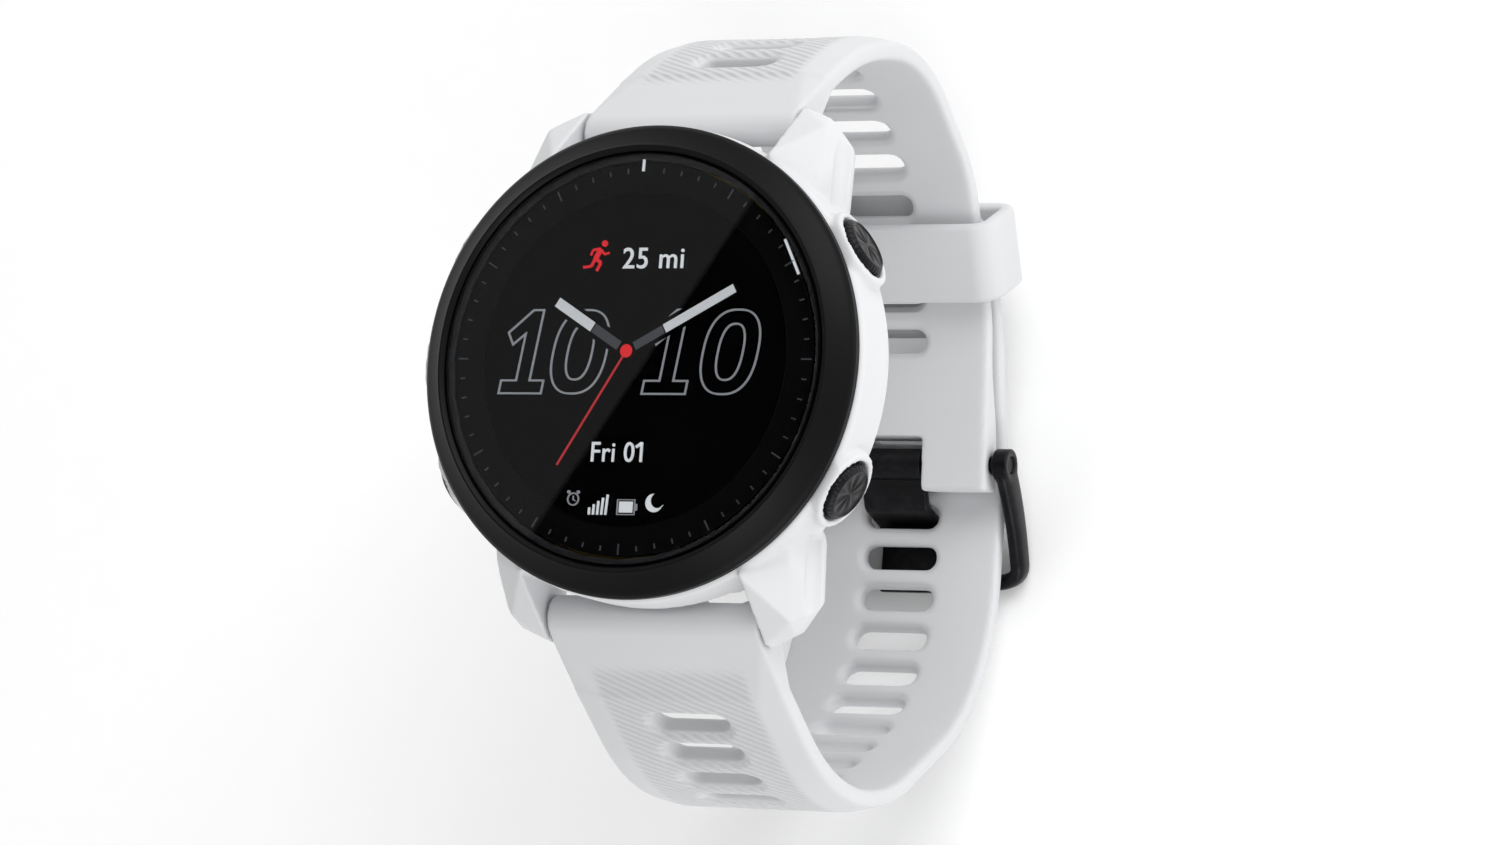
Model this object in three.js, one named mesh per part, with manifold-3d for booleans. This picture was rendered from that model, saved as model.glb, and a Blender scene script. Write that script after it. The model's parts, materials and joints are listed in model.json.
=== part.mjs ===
// A GPS running watch: round case, black bezel, five side buttons and a buckled silicone strap.
// Millimetres. +Z leaves the lens, +Y is 12 o'clock, +X is 3 o'clock, and the sensor window's
// outer face is at z = 0. Every solid is built where it sits on the buckled watch.
import * as THREE from "three";
import { ConvexGeometry } from "three/addons/geometries/ConvexGeometry.js";
import { mergeVertices } from "three/addons/utils/BufferGeometryUtils.js";
import Module from "manifold-3d";

const wasm = await Module();
wasm.setup();

// ---- driving sizes ----
const caseRadius = 22.1; // the case's upright side wall
const caseTop = 10.9;
const backZ = 0.9; // outer face of the back cover
const caseWall = 2.9;
const seatTop = 4.4; // inner ledge that the back cover screws up against
const seatUnder = 3.2;
const seatWidth = 4.3; // how far the ledge stands in from the bore
const bezelInset = 0.2; // bezel's outside within the case's side
const bezelRise = 2.8; // lens's face above the case's top
const lensPlay = 0.15; // lens's edge within the bore
const dialRadius = 15.4; // round display inside its printed ring
const strapWidth = 21.7;
const lugStand = 2.95; // how far the lug tips stand out past the case's side
const lugWidth = 5.25;
const lugTipZ = 4.2;
const barZ = 3.4; // axis of the spring bars
const barRadius = 0.75;
const rollRadius = 2.15; // strap end rolled around the spring bar
const rootThickness = 2.5; // strap at the lugs
const backThickness = 2.1; // strap behind the wrist
const edgeShare = 0.75; // edge thickness over centre thickness
const slotPlay = 0.5; // room in a slot at each side of the tongue
const slotWidth = 2.4;
const longPitch = 4.2; // slot spacing on the long half
const shortPitch = 4.6; // slot spacing on the short half
const slotStart = 9.5; // no slot is nearer than this to a strap half's start
const loopReach = 39.6; // how far the long half's first bend stands out along Y
const loopDepth = 48.7; // inner face of the long half below the sensor window, at the back
const buttonAngles = { start: 29.5, back: -29.5, light: 150.5, up: 180, down: 209.5 };
const buttonZ = 7.5;
const buttonRadius = 2.8;
const buttonTravel = 0.6;
const leverX = 6.5; // released end of the spring bar's lever collar
const leverCollar = 2.3;
const collarRadius = 1.05;
const leverTravel = 1.7;
const buttonStand = 1.15; // released button's face past the case's side
const rampY = 12.8; // where the long half bends up towards the keeper
const rampRise = 3.4; // how far that bend is above the back
const tipRun = 13.4; // along Y, from that bend to the long half's tip
const rampSlope = 27; // degrees that both halves rise under the keeper
const hubThickness = 4.1; // short half where it wraps the buckle pin
const keeperY = 18.6;
const keeperLength = 8;
const keeperWall = 1.5;
const keeperPlay = 0.8; // how much thicker the keeper's opening is than the two layers
const tongueWidth = 7;
const tongueThickness = 0.9;
const pinRadius = 0.8;
const pinY = -1.1;
const crossBarRadius = 0.8;
const buckleReach = 11.1; // pin to cross bar
const screwInset = 2; // from the ledge's inner edge to the case screws
const screwAngles = [45, 135, 225, 315];
const contactY = -11.9;
const contactX = [-2.85, -0.95, 0.95, 2.85];

// ---- named clearances ----
const gap = 0.3; // between neighbouring pieces
const slip = 0.05; // radial, where one piece turns or slides on another
const seal = 0.1; // around seals

const boreRadius = caseRadius - caseWall;
const seatRadius = boreRadius - seatWidth;
const coverRadius = boreRadius - 2 * gap;
const screwRadius = seatRadius + screwInset;
const bezelRadius = caseRadius - bezelInset;
const lensRadius = boreRadius - lensPlay;
const lensTop = caseTop + bezelRise;
const buttonFace = caseRadius + buttonStand;
const lugReach = caseRadius + lugStand;
const barY = caseRadius + 0.7;
const slotLength = tongueWidth + 2 * slotPlay;
const lugInnerX = strapWidth / 2 + gap;
const lugOuterX = lugInnerX + lugWidth;
const layerStep = backThickness + gap; // from one strap layer to the next

const group = new THREE.Group();
group.name = "gps_running_watch";

// ---- materials ----
const finish = (color, roughness, metalness = 0) =>
  new THREE.MeshStandardMaterial({ color, roughness, metalness });
const whitePolymer = finish(0xe6e7e8, 0.45);
const whiteSilicone = finish(0xe4e5e6, 0.6);
const blackPolymer = finish(0x1b1b1d, 0.4);
const blackMetal = finish(0x161618, 0.35, 0.8);
const darkGlass = finish(0x08090a, 0.05);
const dialBlack = finish(0x0c0c0e, 0.5);
const greyRubber = finish(0x2a2a2c, 0.8);
const boardGreen = finish(0x1d4a32, 0.5);
const steel = finish(0xb8bbbf, 0.3, 1);
const gold = finish(0xd6b25a, 0.3, 1);
const cellGrey = finish(0x8f9499, 0.5, 0.3);

// ---- solids ----

// A closed three.js geometry as a solid; one that comes out inside out is turned right side out.
function solid(geometry) {
  const bare = geometry.index ? geometry.toNonIndexed() : geometry.clone();
  bare.deleteAttribute("normal");
  bare.deleteAttribute("uv");
  const merged = mergeVertices(bare, 1e-4);
  const vertProperties = new Float32Array(merged.attributes.position.array);
  const triVerts = new Uint32Array(merged.index.array);
  const build = () =>
    new wasm.Manifold(new wasm.Mesh({ numProp: 3, vertProperties, triVerts }));
  const made = build();
  if (made.volume() > 0) return made;
  for (let i = 0; i < triVerts.length; i += 3) {
    [triVerts[i + 1], triVerts[i + 2]] = [triVerts[i + 2], triVerts[i + 1]];
  }
  return build();
}

function join(...parts) {
  return parts.reduce((sum, part) => sum.add(part));
}

function cut(body, ...tools) {
  return tools.reduce((left, tool) => left.subtract(tool), body);
}

function node(name, body, material) {
  const mesh = body.getMesh();
  const geometry = new THREE.BufferGeometry();
  geometry.setAttribute("position", new THREE.BufferAttribute(mesh.vertProperties, 3));
  geometry.setIndex(new THREE.BufferAttribute(mesh.triVerts, 1));
  geometry.computeVertexNormals();
  const made = new THREE.Mesh(geometry, material);
  made.name = name;
  group.add(made);
}

// A profile of [radius, z] points turned about Z. It starts and ends on the axis, or closes.
function turned(profile, segments = 32) {
  const points = profile.map(([r, z]) => new THREE.Vector2(r, z));
  return solid(new THREE.LatheGeometry(points, segments).rotateX(Math.PI / 2));
}

function disc(radius, low, high, segments = 32) {
  return turned([[0, low], [radius, low], [radius, high], [0, high]], segments);
}

function ring(inner, outer, low, high, segments = 32) {
  const profile = [[inner, low], [outer, low], [outer, high], [inner, high], [inner, low]];
  return turned(profile, segments);
}

function torus(major, minor, z, around = 24, across = 8) {
  const geometry = new THREE.TorusGeometry(major, minor, across, around);
  return solid(geometry.translate(0, 0, z));
}

function box(lowX, highX, lowY, highY, lowZ, highZ) {
  const size = [highX - lowX, highY - lowY, highZ - lowZ];
  const geometry = new THREE.BoxGeometry(...size);
  geometry.translate((lowX + highX) / 2, (lowY + highY) / 2, (lowZ + highZ) / 2);
  return solid(geometry);
}

// Moves a solid by a matrix whose columns are where its own X, Y and Z axes and origin go.
function placed(body, xAxis, yAxis, zAxis, origin) {
  const mesh = body.getMesh();
  const geometry = new THREE.BufferGeometry();
  geometry.setAttribute("position", new THREE.BufferAttribute(mesh.vertProperties, 3));
  geometry.setIndex(new THREE.BufferAttribute(mesh.triVerts, 1));
  const matrix = new THREE.Matrix4().makeBasis(xAxis, yAxis, zAxis).setPosition(origin);
  return solid(geometry.applyMatrix4(matrix));
}

const axisX = new THREE.Vector3(1, 0, 0);
const axisY = new THREE.Vector3(0, 1, 0);
const axisZ = new THREE.Vector3(0, 0, 1);

// A solid built about Z, laid so that its Z points out of the case at an angle from 3 o'clock.
function radial(body, degrees, z) {
  const a = THREE.MathUtils.degToRad(degrees);
  const across = new THREE.Vector3(-Math.sin(a), Math.cos(a), 0);
  const outward = new THREE.Vector3(Math.cos(a), Math.sin(a), 0);
  return placed(body, across, axisZ, outward, new THREE.Vector3(0, 0, z));
}

// An outline in the Y-Z plane carried along X.
function alongX(shape, lowX, highX, curveSegments = 4) {
  const settings = { depth: highX - lowX, bevelEnabled: false, curveSegments };
  const body = solid(new THREE.ExtrudeGeometry(shape, settings));
  return placed(body, axisY, axisZ, axisX, new THREE.Vector3(lowX, 0, 0));
}

function rodX(radius, lowX, highX, y, z, segments = 24) {
  const body = disc(radius, lowX, highX, segments);
  return placed(body, axisY, axisZ, axisX, new THREE.Vector3(0, y, z));
}

// The outline around two circles and the straight tangents between them.
function linkOutline(from, to, radiusFrom, radiusTo) {
  const heading = Math.atan2(to.y - from.y, to.x - from.x);
  const spread = Math.acos((radiusFrom - radiusTo) / from.distanceTo(to));
  const shape = new THREE.Shape();
  shape.absarc(from.x, from.y, radiusFrom, heading + spread, heading - spread, false);
  shape.absarc(to.x, to.y, radiusTo, heading - spread, heading + spread, false);
  shape.closePath();
  return shape;
}

function roundedRectangle(width, height, radius) {
  const [w, h] = [width / 2, height / 2];
  const shape = new THREE.Shape();
  shape.absarc(w - radius, h - radius, radius, 0, Math.PI / 2);
  shape.absarc(radius - w, h - radius, radius, Math.PI / 2, Math.PI);
  shape.absarc(radius - w, radius - h, radius, Math.PI, 1.5 * Math.PI);
  shape.absarc(w - radius, radius - h, radius, 1.5 * Math.PI, 2 * Math.PI);
  shape.closePath();
  return shape;
}

// A rounded rectangle's plate lying flat, centred at x, y.
function plate(width, height, radius, x, y, low, high) {
  const settings = { depth: high - low, bevelEnabled: false, curveSegments: 2 };
  const geometry = new THREE.ExtrudeGeometry(roundedRectangle(width, height, radius), settings);
  return solid(geometry.translate(x, y, low));
}

// ---- case ----

// One corner's lug: the hull of its inner edge, its outer ridge and its lower rim.
function lug(signX, signY) {
  const tip = lugReach;
  const ridgeX = lugOuterX - 1.4;
  const corners = [
    [lugInnerX, caseRadius - 6, caseTop], [lugInnerX, caseRadius - 2.7, caseTop],
    [lugInnerX, tip, lugTipZ], [lugInnerX, tip + 0.1, lugTipZ - 1.2],
    [lugInnerX, tip - 0.5, lugTipZ - 2.6], [lugInnerX, tip - 2.2, backZ + 0.1],
    [lugInnerX, caseRadius - 8, backZ + 0.3],
    [ridgeX, caseRadius - 6.5, lugTipZ + 4.8], [ridgeX, caseRadius - 4.1, lugTipZ + 4.1],
    [ridgeX - 0.7, tip - 2.1, lugTipZ + 1.7],
    [ridgeX - 1, tip - 1.1, lugTipZ - 0.2], [ridgeX - 1.2, tip - 1.6, backZ + 0.8],
    [lugOuterX, tip - 3.9, lugTipZ - 0.4], [lugOuterX, caseRadius - 7.6, lugTipZ],
    [lugOuterX - 0.6, tip - 4.4, backZ + 1], [lugOuterX - 0.8, caseRadius - 7, backZ + 1],
  ];
  const points = corners.map(([x, y, z]) => new THREE.Vector3(signX * x, signY * y, z));
  return solid(new ConvexGeometry(points));
}

// The hollow scooped out of a lug's outer flank.
function lugScoop(signX, signY) {
  const radius = 1.9;
  const near = new THREE.Vector3(signX * (lugOuterX + 1.1), signY * (caseRadius - 7), 5.9);
  const far = new THREE.Vector3(signX * (lugOuterX + 0.6), signY * (lugReach + 1), 4.7);
  const length = near.distanceTo(far);
  const along = far.clone().sub(near).normalize();
  const side = new THREE.Vector3().crossVectors(axisZ, along).normalize();
  const up = new THREE.Vector3().crossVectors(along, side);
  return placed(disc(radius, 0, length, 20), side, up, along, near);
}

function buttonBoss(degrees) {
  return radial(disc(buttonRadius + 1, boreRadius + 0.8, caseRadius + 0.65, 20), degrees, buttonZ);
}

// The stepped hole a button sits in: cap recess, seal pocket and stem hole.
function buttonHole(degrees) {
  const recess = disc(buttonRadius + gap, caseRadius - 1.1, caseRadius + 4, 20);
  const pocket = disc(1.6, caseRadius - 1.9, caseRadius - 1, 12);
  const stemHole = disc(0.95, boreRadius - 1, caseRadius - 1, 12);
  return radial(join(recess, pocket, stemHole), degrees, buttonZ);
}

function atScrew(body, degrees) {
  const a = THREE.MathUtils.degToRad(degrees);
  const centre = new THREE.Vector3(screwRadius * Math.cos(a), screwRadius * Math.sin(a), 0);
  return placed(body, axisX, axisY, axisZ, centre);
}

function caseFrame() {
  const shell = turned([
    [coverRadius + gap, backZ], [coverRadius + 1, backZ], [caseRadius - 1.3, 3],
    [caseRadius, 5.3], [caseRadius, caseTop - 0.5], [caseRadius - 0.4, caseTop],
    [boreRadius, caseTop], [boreRadius, seatTop], [seatRadius, seatTop],
    [seatRadius, seatUnder], [coverRadius + gap, seatUnder], [coverRadius + gap, backZ],
  ], 48);
  const inside = turned([
    [0, backZ - 2], [coverRadius + gap, backZ - 2], [coverRadius + gap, seatUnder],
    [seatRadius, seatUnder], [seatRadius, seatTop], [boreRadius, seatTop],
    [boreRadius, caseTop + 2], [0, caseTop + 2],
  ], 48);
  const corners = [[1, 1], [1, -1], [-1, 1], [-1, -1]];
  const lugs = corners.map(([x, y]) => lug(x, y));
  const scoops = corners.map(([x, y]) => lugScoop(x, y));
  const belowRim = box(-40, 40, -40, 40, backZ, caseTop);
  const bosses = Object.values(buttonAngles).map((a) => buttonBoss(a).intersect(belowRim));
  const body = cut(join(shell, ...lugs), ...scoops);
  // Room for the strap's rolled ends, left open below the case's rim.
  const rollRooms = [1, -1].map((sign) => {
    const wall = sign * (boreRadius + 1.1);
    const out = sign * (lugReach + 5);
    return box(-lugInnerX, lugInnerX, Math.min(wall, out), Math.max(wall, out), -5, 6.1);
  });
  const barHoles = [1, -1].map((sign) =>
    rodX(barRadius + 0.1, -lugInnerX - 1.75, lugInnerX + 1.75, sign * barY, barZ, 16));
  const holes = Object.values(buttonAngles).map(buttonHole);
  const screwHoles = screwAngles.map((a) => atScrew(disc(0.75, 0, seatTop - 0.4, 12), a));
  return cut(join(body, ...bosses), inside, ...rollRooms, ...barHoles, ...holes, ...screwHoles);
}

function bezel() {
  return turned([
    [boreRadius + 0.4, caseTop + gap], [bezelRadius, caseTop + gap],
    [bezelRadius, caseTop + 1.2], [bezelRadius - 0.35, caseTop + 1.6],
    [lensRadius + 0.8, lensTop + 0.05], [lensRadius + 0.5, lensTop + 0.2],
    [lensRadius + 0.15, lensTop - 0.1], [lensRadius + 0.15, lensTop - 1.1],
    [lensRadius - 0.7, lensTop - 1.1], [lensRadius - 0.7, lensTop - 1.5],
    [boreRadius + 0.4, caseTop + gap],
  ], 48);
}

function lens() {
  return turned([
    [0, lensTop - 0.8], [lensRadius, lensTop - 0.8], [lensRadius, lensTop - 0.1],
    [lensRadius - 0.1, lensTop], [0, lensTop],
  ], 48);
}

// ---- strap halves ----

// A path through [y, z, radius] corners, each rounded to its radius.
function roundedPath(corners) {
  const path = new THREE.CurvePath();
  let from = new THREE.Vector2(corners[0][0], corners[0][1]);
  for (let i = 1; i < corners.length - 1; i++) {
    const here = new THREE.Vector2(corners[i][0], corners[i][1]);
    const next = new THREE.Vector2(corners[i + 1][0], corners[i + 1][1]);
    const radius = corners[i][2];
    const before = here.clone().sub(from).normalize();
    const after = next.clone().sub(here).normalize();
    const turn = Math.atan2(before.cross(after), before.dot(after));
    const cutBack = radius * Math.tan(Math.abs(turn) / 2);
    const start = here.clone().addScaledVector(before, -cutBack);
    const side = new THREE.Vector2(-before.y, before.x).multiplyScalar(Math.sign(turn));
    const centre = start.clone().addScaledVector(side, radius);
    const first = Math.atan2(start.y - centre.y, start.x - centre.x);
    path.add(new THREE.LineCurve(from, start));
    path.add(new THREE.EllipseCurve(
      centre.x, centre.y, radius, radius, first, first + turn, turn < 0));
    from = here.clone().addScaledVector(after, cutBack);
  }
  const last = corners[corners.length - 1];
  path.add(new THREE.LineCurve(from, new THREE.Vector2(last[0], last[1])));
  return path;
}

const backSlope = THREE.MathUtils.degToRad(rampSlope);
const pinZ = -loopDepth + 2.8;
const innerBack = -loopDepth + backThickness + 4.2; // wrist side of the short half over the buckle

// Inner face of the long half, from its spring bar down and round the back to its tip.
const longPath = roundedPath([
  [-barY - 0.7, barZ + 0.3], [-loopReach, -0.396 * loopDepth, 22],
  [-0.6 * loopReach, -loopDepth, 20], [pinY + 0.2, -loopDepth, 25],
  [rampY, -loopDepth + rampRise, 20],
  [rampY + tipRun, -loopDepth + rampRise + tipRun * Math.tan(backSlope)],
]);

// Inner face of the short half: its last straight run lies one layer inside the long half.
const keeperRise = layerStep / Math.cos(backSlope);
const shortRun = (y) =>
  -loopDepth + rampRise + (y - rampY) * Math.tan(backSlope) + keeperRise;
const shortPath = roundedPath([
  [barY + 0.7, barZ + 0.3], [0.822 * loopReach, -0.2 * loopDepth, 28],
  [0.884 * loopReach, -0.472 * loopDepth, 15],
  [rampY + tipRun, shortRun(rampY + tipRun), 12],
  [rampY + 0.2, shortRun(rampY + 0.2), 15], [pinY - 2.9, innerBack - 1.9],
]);

// A point on a path at a distance along it, with its heading and its outward side.
function station(path, distance, outwardSign) {
  const u = distance / path.getLength();
  const point = path.getPointAt(Math.min(u, 1));
  const heading = path.getTangentAt(Math.min(u, 1));
  const outward = new THREE.Vector2(heading.y, -heading.x).multiplyScalar(outwardSign);
  return { point, heading, outward };
}

// The strap's section swept along its inner face. thicknessAt gives the centre's thickness.
function strapBody(path, outwardSign, thicknessAt, step = 4) {
  const length = path.getLength();
  const count = Math.ceil(length / step);
  const half = strapWidth / 2;
  const positions = [];
  for (let i = 0; i <= count; i++) {
    const distance = (length * i) / count;
    const { point, outward } = station(path, distance, outwardSign);
    const thick = thicknessAt(distance, length);
    const edge = thick * edgeShare;
    const section = [
      [gap - half, 0], [half - gap, 0], [half, gap], [half, edge],
      [half - 3, thick], [3 - half, thick], [-half, edge], [-half, gap],
    ];
    for (const [x, n] of section) {
      positions.push(x, point.x + outward.x * n, point.y + outward.y * n);
    }
  }
  const index = [];
  for (let i = 0; i < count; i++) {
    for (let j = 0; j < 8; j++) {
      const [a, b] = [8 * i + j, 8 * i + ((j + 1) % 8)];
      index.push(a, b, b + 8, a, b + 8, a + 8);
    }
  }
  for (let j = 1; j < 7; j++) {
    index.push(0, j + 1, j);
    index.push(8 * count, 8 * count + j, 8 * count + j + 1);
  }
  const geometry = new THREE.BufferGeometry();
  geometry.setAttribute("position", new THREE.Float32BufferAttribute(positions, 3));
  geometry.setIndex(index);
  return solid(geometry);
}

// A capsule-shaped hole through the strap at a distance along its path.
function slotAt(path, distance, outwardSign) {
  const { point, heading, outward } = station(path, distance, outwardSign);
  const settings = { depth: 14, bevelEnabled: false, curveSegments: 1 };
  const outline = roundedRectangle(slotLength, slotWidth, slotWidth / 2 - 0.01);
  const body = solid(new THREE.ExtrudeGeometry(outline, settings).translate(0, 0, -5));
  const along = new THREE.Vector3(0, heading.x, heading.y);
  const out = new THREE.Vector3(0, outward.x, outward.y);
  const across = new THREE.Vector3().crossVectors(along, out);
  return placed(body, across, along, out, new THREE.Vector3(0, point.x, point.y));
}

// Distance along a path at which it reaches a y, searched between two distances.
function distanceAtY(path, y, low, high) {
  for (let i = 0; i < 40; i++) {
    const middle = (low + high) / 2;
    const rising = station(path, high, 1).point.x > station(path, low, 1).point.x;
    if (station(path, middle, 1).point.x < y === rising) low = middle;
    else high = middle;
  }
  return (low + high) / 2;
}

const smooth = (low, high, x) => THREE.MathUtils.smoothstep(x, low, high);

const longThickness = (s) =>
  rootThickness + (backThickness - rootThickness) * smooth(10, 45, s);

function shortThickness(s, length) {
  const root = rootThickness + (backThickness - rootThickness) * smooth(10, 45, s);
  return root + (hubThickness - backThickness) * smooth(length - 14, length - 4.5, s);
}

// The bar's roll, its bore and the notch that lets a finger reach the release lever.
function rolled(body, sign) {
  const roll = rodX(rollRadius, -strapWidth / 2, strapWidth / 2, sign * barY, barZ, 20);
  const bore = rodX(barRadius + 0.15, -strapWidth, strapWidth, sign * barY, barZ, 14);
  const reach = collarRadius + 0.1;
  const lowY = sign > 0 ? barY - rollRadius - 1 : -barY - reach;
  const highY = sign > 0 ? barY + reach : -barY + rollRadius + 1;
  const notch = box(
    leverX - leverTravel - gap, leverX + leverCollar + gap, lowY, highY, barZ - 7, barZ + reach);
  return cut(body.add(roll), bore, notch);
}

const tongueSlotY = pinY - 4.9;
const tongueSlot = distanceAtY(longPath, tongueSlotY, 40, longPath.getLength() - 20);

function strapLong() {
  const length = longPath.getLength();
  const blunt = strapBody(longPath, 1, longThickness);
  const tip = station(longPath, length, 1);
  // The tip's outline is rounded off to a wide arc.
  const keepArc = disc(strapWidth * 0.62, -8, 8, 48);
  const along = new THREE.Vector3(0, tip.heading.x, tip.heading.y);
  const out = new THREE.Vector3(0, tip.outward.x, tip.outward.y);
  const centre = new THREE.Vector3(0, tip.point.x, tip.point.y)
    .addScaledVector(along, -strapWidth * 0.62);
  const arc = placed(keepArc, axisX.clone().negate(), along, out, centre);
  const reach = 9;
  const tipBox = placed(box(-20, 20, 0, 20, -8, 8), axisX.clone().negate(), along, out,
    new THREE.Vector3(0, tip.point.x, tip.point.y).addScaledVector(along, -reach));
  const rounded = cut(blunt, cut(tipBox, arc));
  const first = tongueSlot - Math.floor((tongueSlot - slotStart) / longPitch) * longPitch;
  const slots = [];
  for (let s = first; s < length - 5; s += longPitch) slots.push(slotAt(longPath, s, 1));
  return rolled(cut(rounded, ...slots), -1);
}

function strapShort() {
  const length = shortPath.getLength();
  const body = strapBody(shortPath, -1, shortThickness);
  const slots = [];
  for (let s = length - 15; s > slotStart; s -= shortPitch) slots.push(slotAt(shortPath, s, -1));
  const half = tongueWidth / 2 + gap;
  const tongueNotch = box(-half, half, pinY - 8, pinY + 2.6, pinZ - 6, pinZ + 6);
  const pinBore = rodX(pinRadius + slip, -strapWidth, strapWidth, pinY, pinZ, 24);
  return rolled(cut(body, ...slots, tongueNotch, pinBore), 1);
}

function keeper() {
  const start = distanceAtY(shortPath, keeperY, 50, shortPath.getLength() - 5);
  const { point, heading, outward } = station(shortPath, start, -1);
  const innerHeight = backThickness + layerStep + 2 * gap + keeperPlay;
  const innerWidth = strapWidth + 3 * gap;
  const inner = roundedRectangle(innerWidth, innerHeight, 0.6);
  const outer = roundedRectangle(
    innerWidth + 2 * keeperWall, innerHeight + 2 * keeperWall, 2);
  outer.holes.push(new THREE.Path(inner.getPoints(2)));
  const settings = { depth: keeperLength, bevelEnabled: false, curveSegments: 3 };
  const band = solid(new THREE.ExtrudeGeometry(outer, settings).translate(0, 0, -keeperLength / 2));
  const along = new THREE.Vector3(0, heading.x, heading.y);
  const out = new THREE.Vector3(0, outward.x, outward.y);
  const across = new THREE.Vector3().crossVectors(out, along);
  const centre = new THREE.Vector3(0, point.x, point.y)
    .addScaledVector(out, innerHeight / 2 - gap);
  return placed(band, across, out, along, centre);
}

// ---- buckle ----

const barCentre = new THREE.Vector2(
  pinY - buckleReach, -loopDepth - backThickness - 1.5 * gap - crossBarRadius);
const pinCentre = new THREE.Vector2(pinY, pinZ);
const armLow = strapWidth / 2 + 0.5;
const armHigh = armLow + 1.6;

// A U seen from the wrist, open towards the pin, with rounded corners.
function buckleOutline() {
  const open = pinY + 4;
  const bar = barCentre.x;
  const low = -loopDepth - 12;
  const high = -loopDepth + 12;
  const outerHeight = 2 * (open - bar + crossBarRadius);
  const innerHeight = 2 * (open - bar - gap);
  const outer = plate(2 * armHigh, outerHeight, 2.8, 0, open, low, high);
  const inner = plate(2 * armLow, innerHeight, 1.3, 0, open, low - 1, high + 1);
  return cut(outer, inner);
}

function buckleFrame() {
  const elbow = new THREE.Vector2(pinY - 5.6, pinZ - 3.3);
  const side = join(
    alongX(linkOutline(pinCentre, elbow, 1.65, 1.15), -armHigh, armHigh, 5),
    alongX(linkOutline(elbow, barCentre, 1.15, crossBarRadius), -armHigh, armHigh, 5),
  );
  const half = tongueWidth / 2 + gap;
  const [y, z] = [barCentre.x, barCentre.y];
  const rest = box(-half, half, y - 3, y + 3, z - 3, z - 0.1);
  const pinHole = rodX(pinRadius + slip, -armHigh - 1, armHigh + 1, pinY, pinZ, 24);
  return cut(side.intersect(buckleOutline()), rest, pinHole);
}

// The flat tongue: round its pin, along the wrist side, down through a slot and onto the bar.
function buckleTongue() {
  const half = tongueWidth / 2;
  const thick = tongueThickness / 2;
  const restZ = barCentre.y - 0.2 - thick;
  const bends = [
    pinCentre, new THREE.Vector2(tongueSlotY + 0.7, -loopDepth + 1.2),
    new THREE.Vector2(tongueSlotY - 0.5, -loopDepth - backThickness - 0.5),
    new THREE.Vector2(tongueSlotY - 1.9, restZ), new THREE.Vector2(barCentre.x - 0.9, restZ),
  ];
  const links = bends.slice(1).map((to, i) =>
    alongX(linkOutline(bends[i], to, thick, thick - 0.001), -half, half, 2));
  const barrel = rodX(1.6, -half, half, pinY, pinZ, 24);
  const bore = rodX(pinRadius + slip, -half - 1, half + 1, pinY, pinZ, 24);
  return cut(join(barrel, ...links), bore);
}

// ---- buttons ----

function button(degrees) {
  const cap = turned([
    [0, caseRadius - 0.35], [buttonRadius, caseRadius - 0.35],
    [buttonRadius, buttonFace - 0.3], [buttonRadius - 0.3, buttonFace],
    [0, buttonFace],
  ], 20);
  const stem = disc(0.75, boreRadius - 1.25, caseRadius, 12);
  return radial(join(cap, stem), degrees, buttonZ);
}

function clip(degrees) {
  const whole = ring(0.75 + slip, 1.55, boreRadius - 0.5, boreRadius - 0.2, 10);
  const mouth = box(-0.5, 0.5, -3, 0, boreRadius - 1, boreRadius + 1);
  return radial(cut(whole, mouth), degrees, buttonZ);
}

const switchFace = boreRadius - 1.25 - buttonTravel - 0.05;

function tactSwitch(degrees) {
  const body = box(-1.7, 1.7, -0.9, 0.9, switchFace - 1.2, switchFace - 0.3);
  const plunger = disc(0.7, switchFace - 0.5, switchFace, 16);
  return radial(join(body, plunger), degrees, buttonZ);
}

function switchPocket(degrees) {
  const pocket = box(-2.1, 2.1, -1.3, 1.5, switchFace - 1.6, boreRadius - 1);
  const window = disc(2.2, switchFace, boreRadius + 1, 10);
  return radial(join(pocket, window), degrees, buttonZ);
}

// ---- inner pieces ----

function chassis() {
  const wall = ring(boreRadius - 1.3, boreRadius - gap, seatTop + gap, 9.6);
  const floor = disc(boreRadius - 1.1, 7.2, 7.5);
  const pockets = Object.values(buttonAngles).map(switchPocket);
  return cut(join(wall, floor), ...pockets);
}

function mainBoard() {
  const pockets = Object.values(buttonAngles).map(switchPocket);
  return cut(disc(boreRadius - 2.2, 7.8, 8.6), ...pockets);
}

function backCover() {
  const body = turned([
    [0, backZ], [coverRadius - 0.5, backZ], [coverRadius, backZ + 0.5],
    [coverRadius, seatUnder - gap], [0, seatUnder - gap],
  ], 40);
  const windowPocket = disc(7.2 + seal, backZ - 1, backZ + 0.8);
  const boardPocket = disc(6.5, backZ, seatUnder);
  const groove = ring(seatRadius + 0.35, seatRadius + 1.1, seatUnder - 0.9, seatUnder);
  const socket = box(-4.2, 4.2, contactY - 1.7, contactY + 1.7, backZ - 1, seatUnder);
  const screws = screwAngles.map((a) =>
    atScrew(join(disc(0.75, 0, 4, 12), disc(1.4, 0, 1.8, 14)), a));
  return cut(body, windowPocket, boardPocket, groove, socket, ...screws);
}

function sensorWindow() {
  return turned([
    [0, 0], [5.6, 0], [6.6, 0.25], [7.2, backZ], [7.2, backZ + 0.5], [0, backZ + 0.5],
  ], 48);
}

function screw(degrees) {
  const shank = disc(0.6, 1.6, seatTop - 0.6, 10);
  const head = disc(1.2, 1, 1.75, 14);
  const drive = box(-0.7, 0.7, -0.15, 0.15, 0, 1.3);
  return atScrew(cut(join(shank, head), drive), degrees);
}

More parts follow.
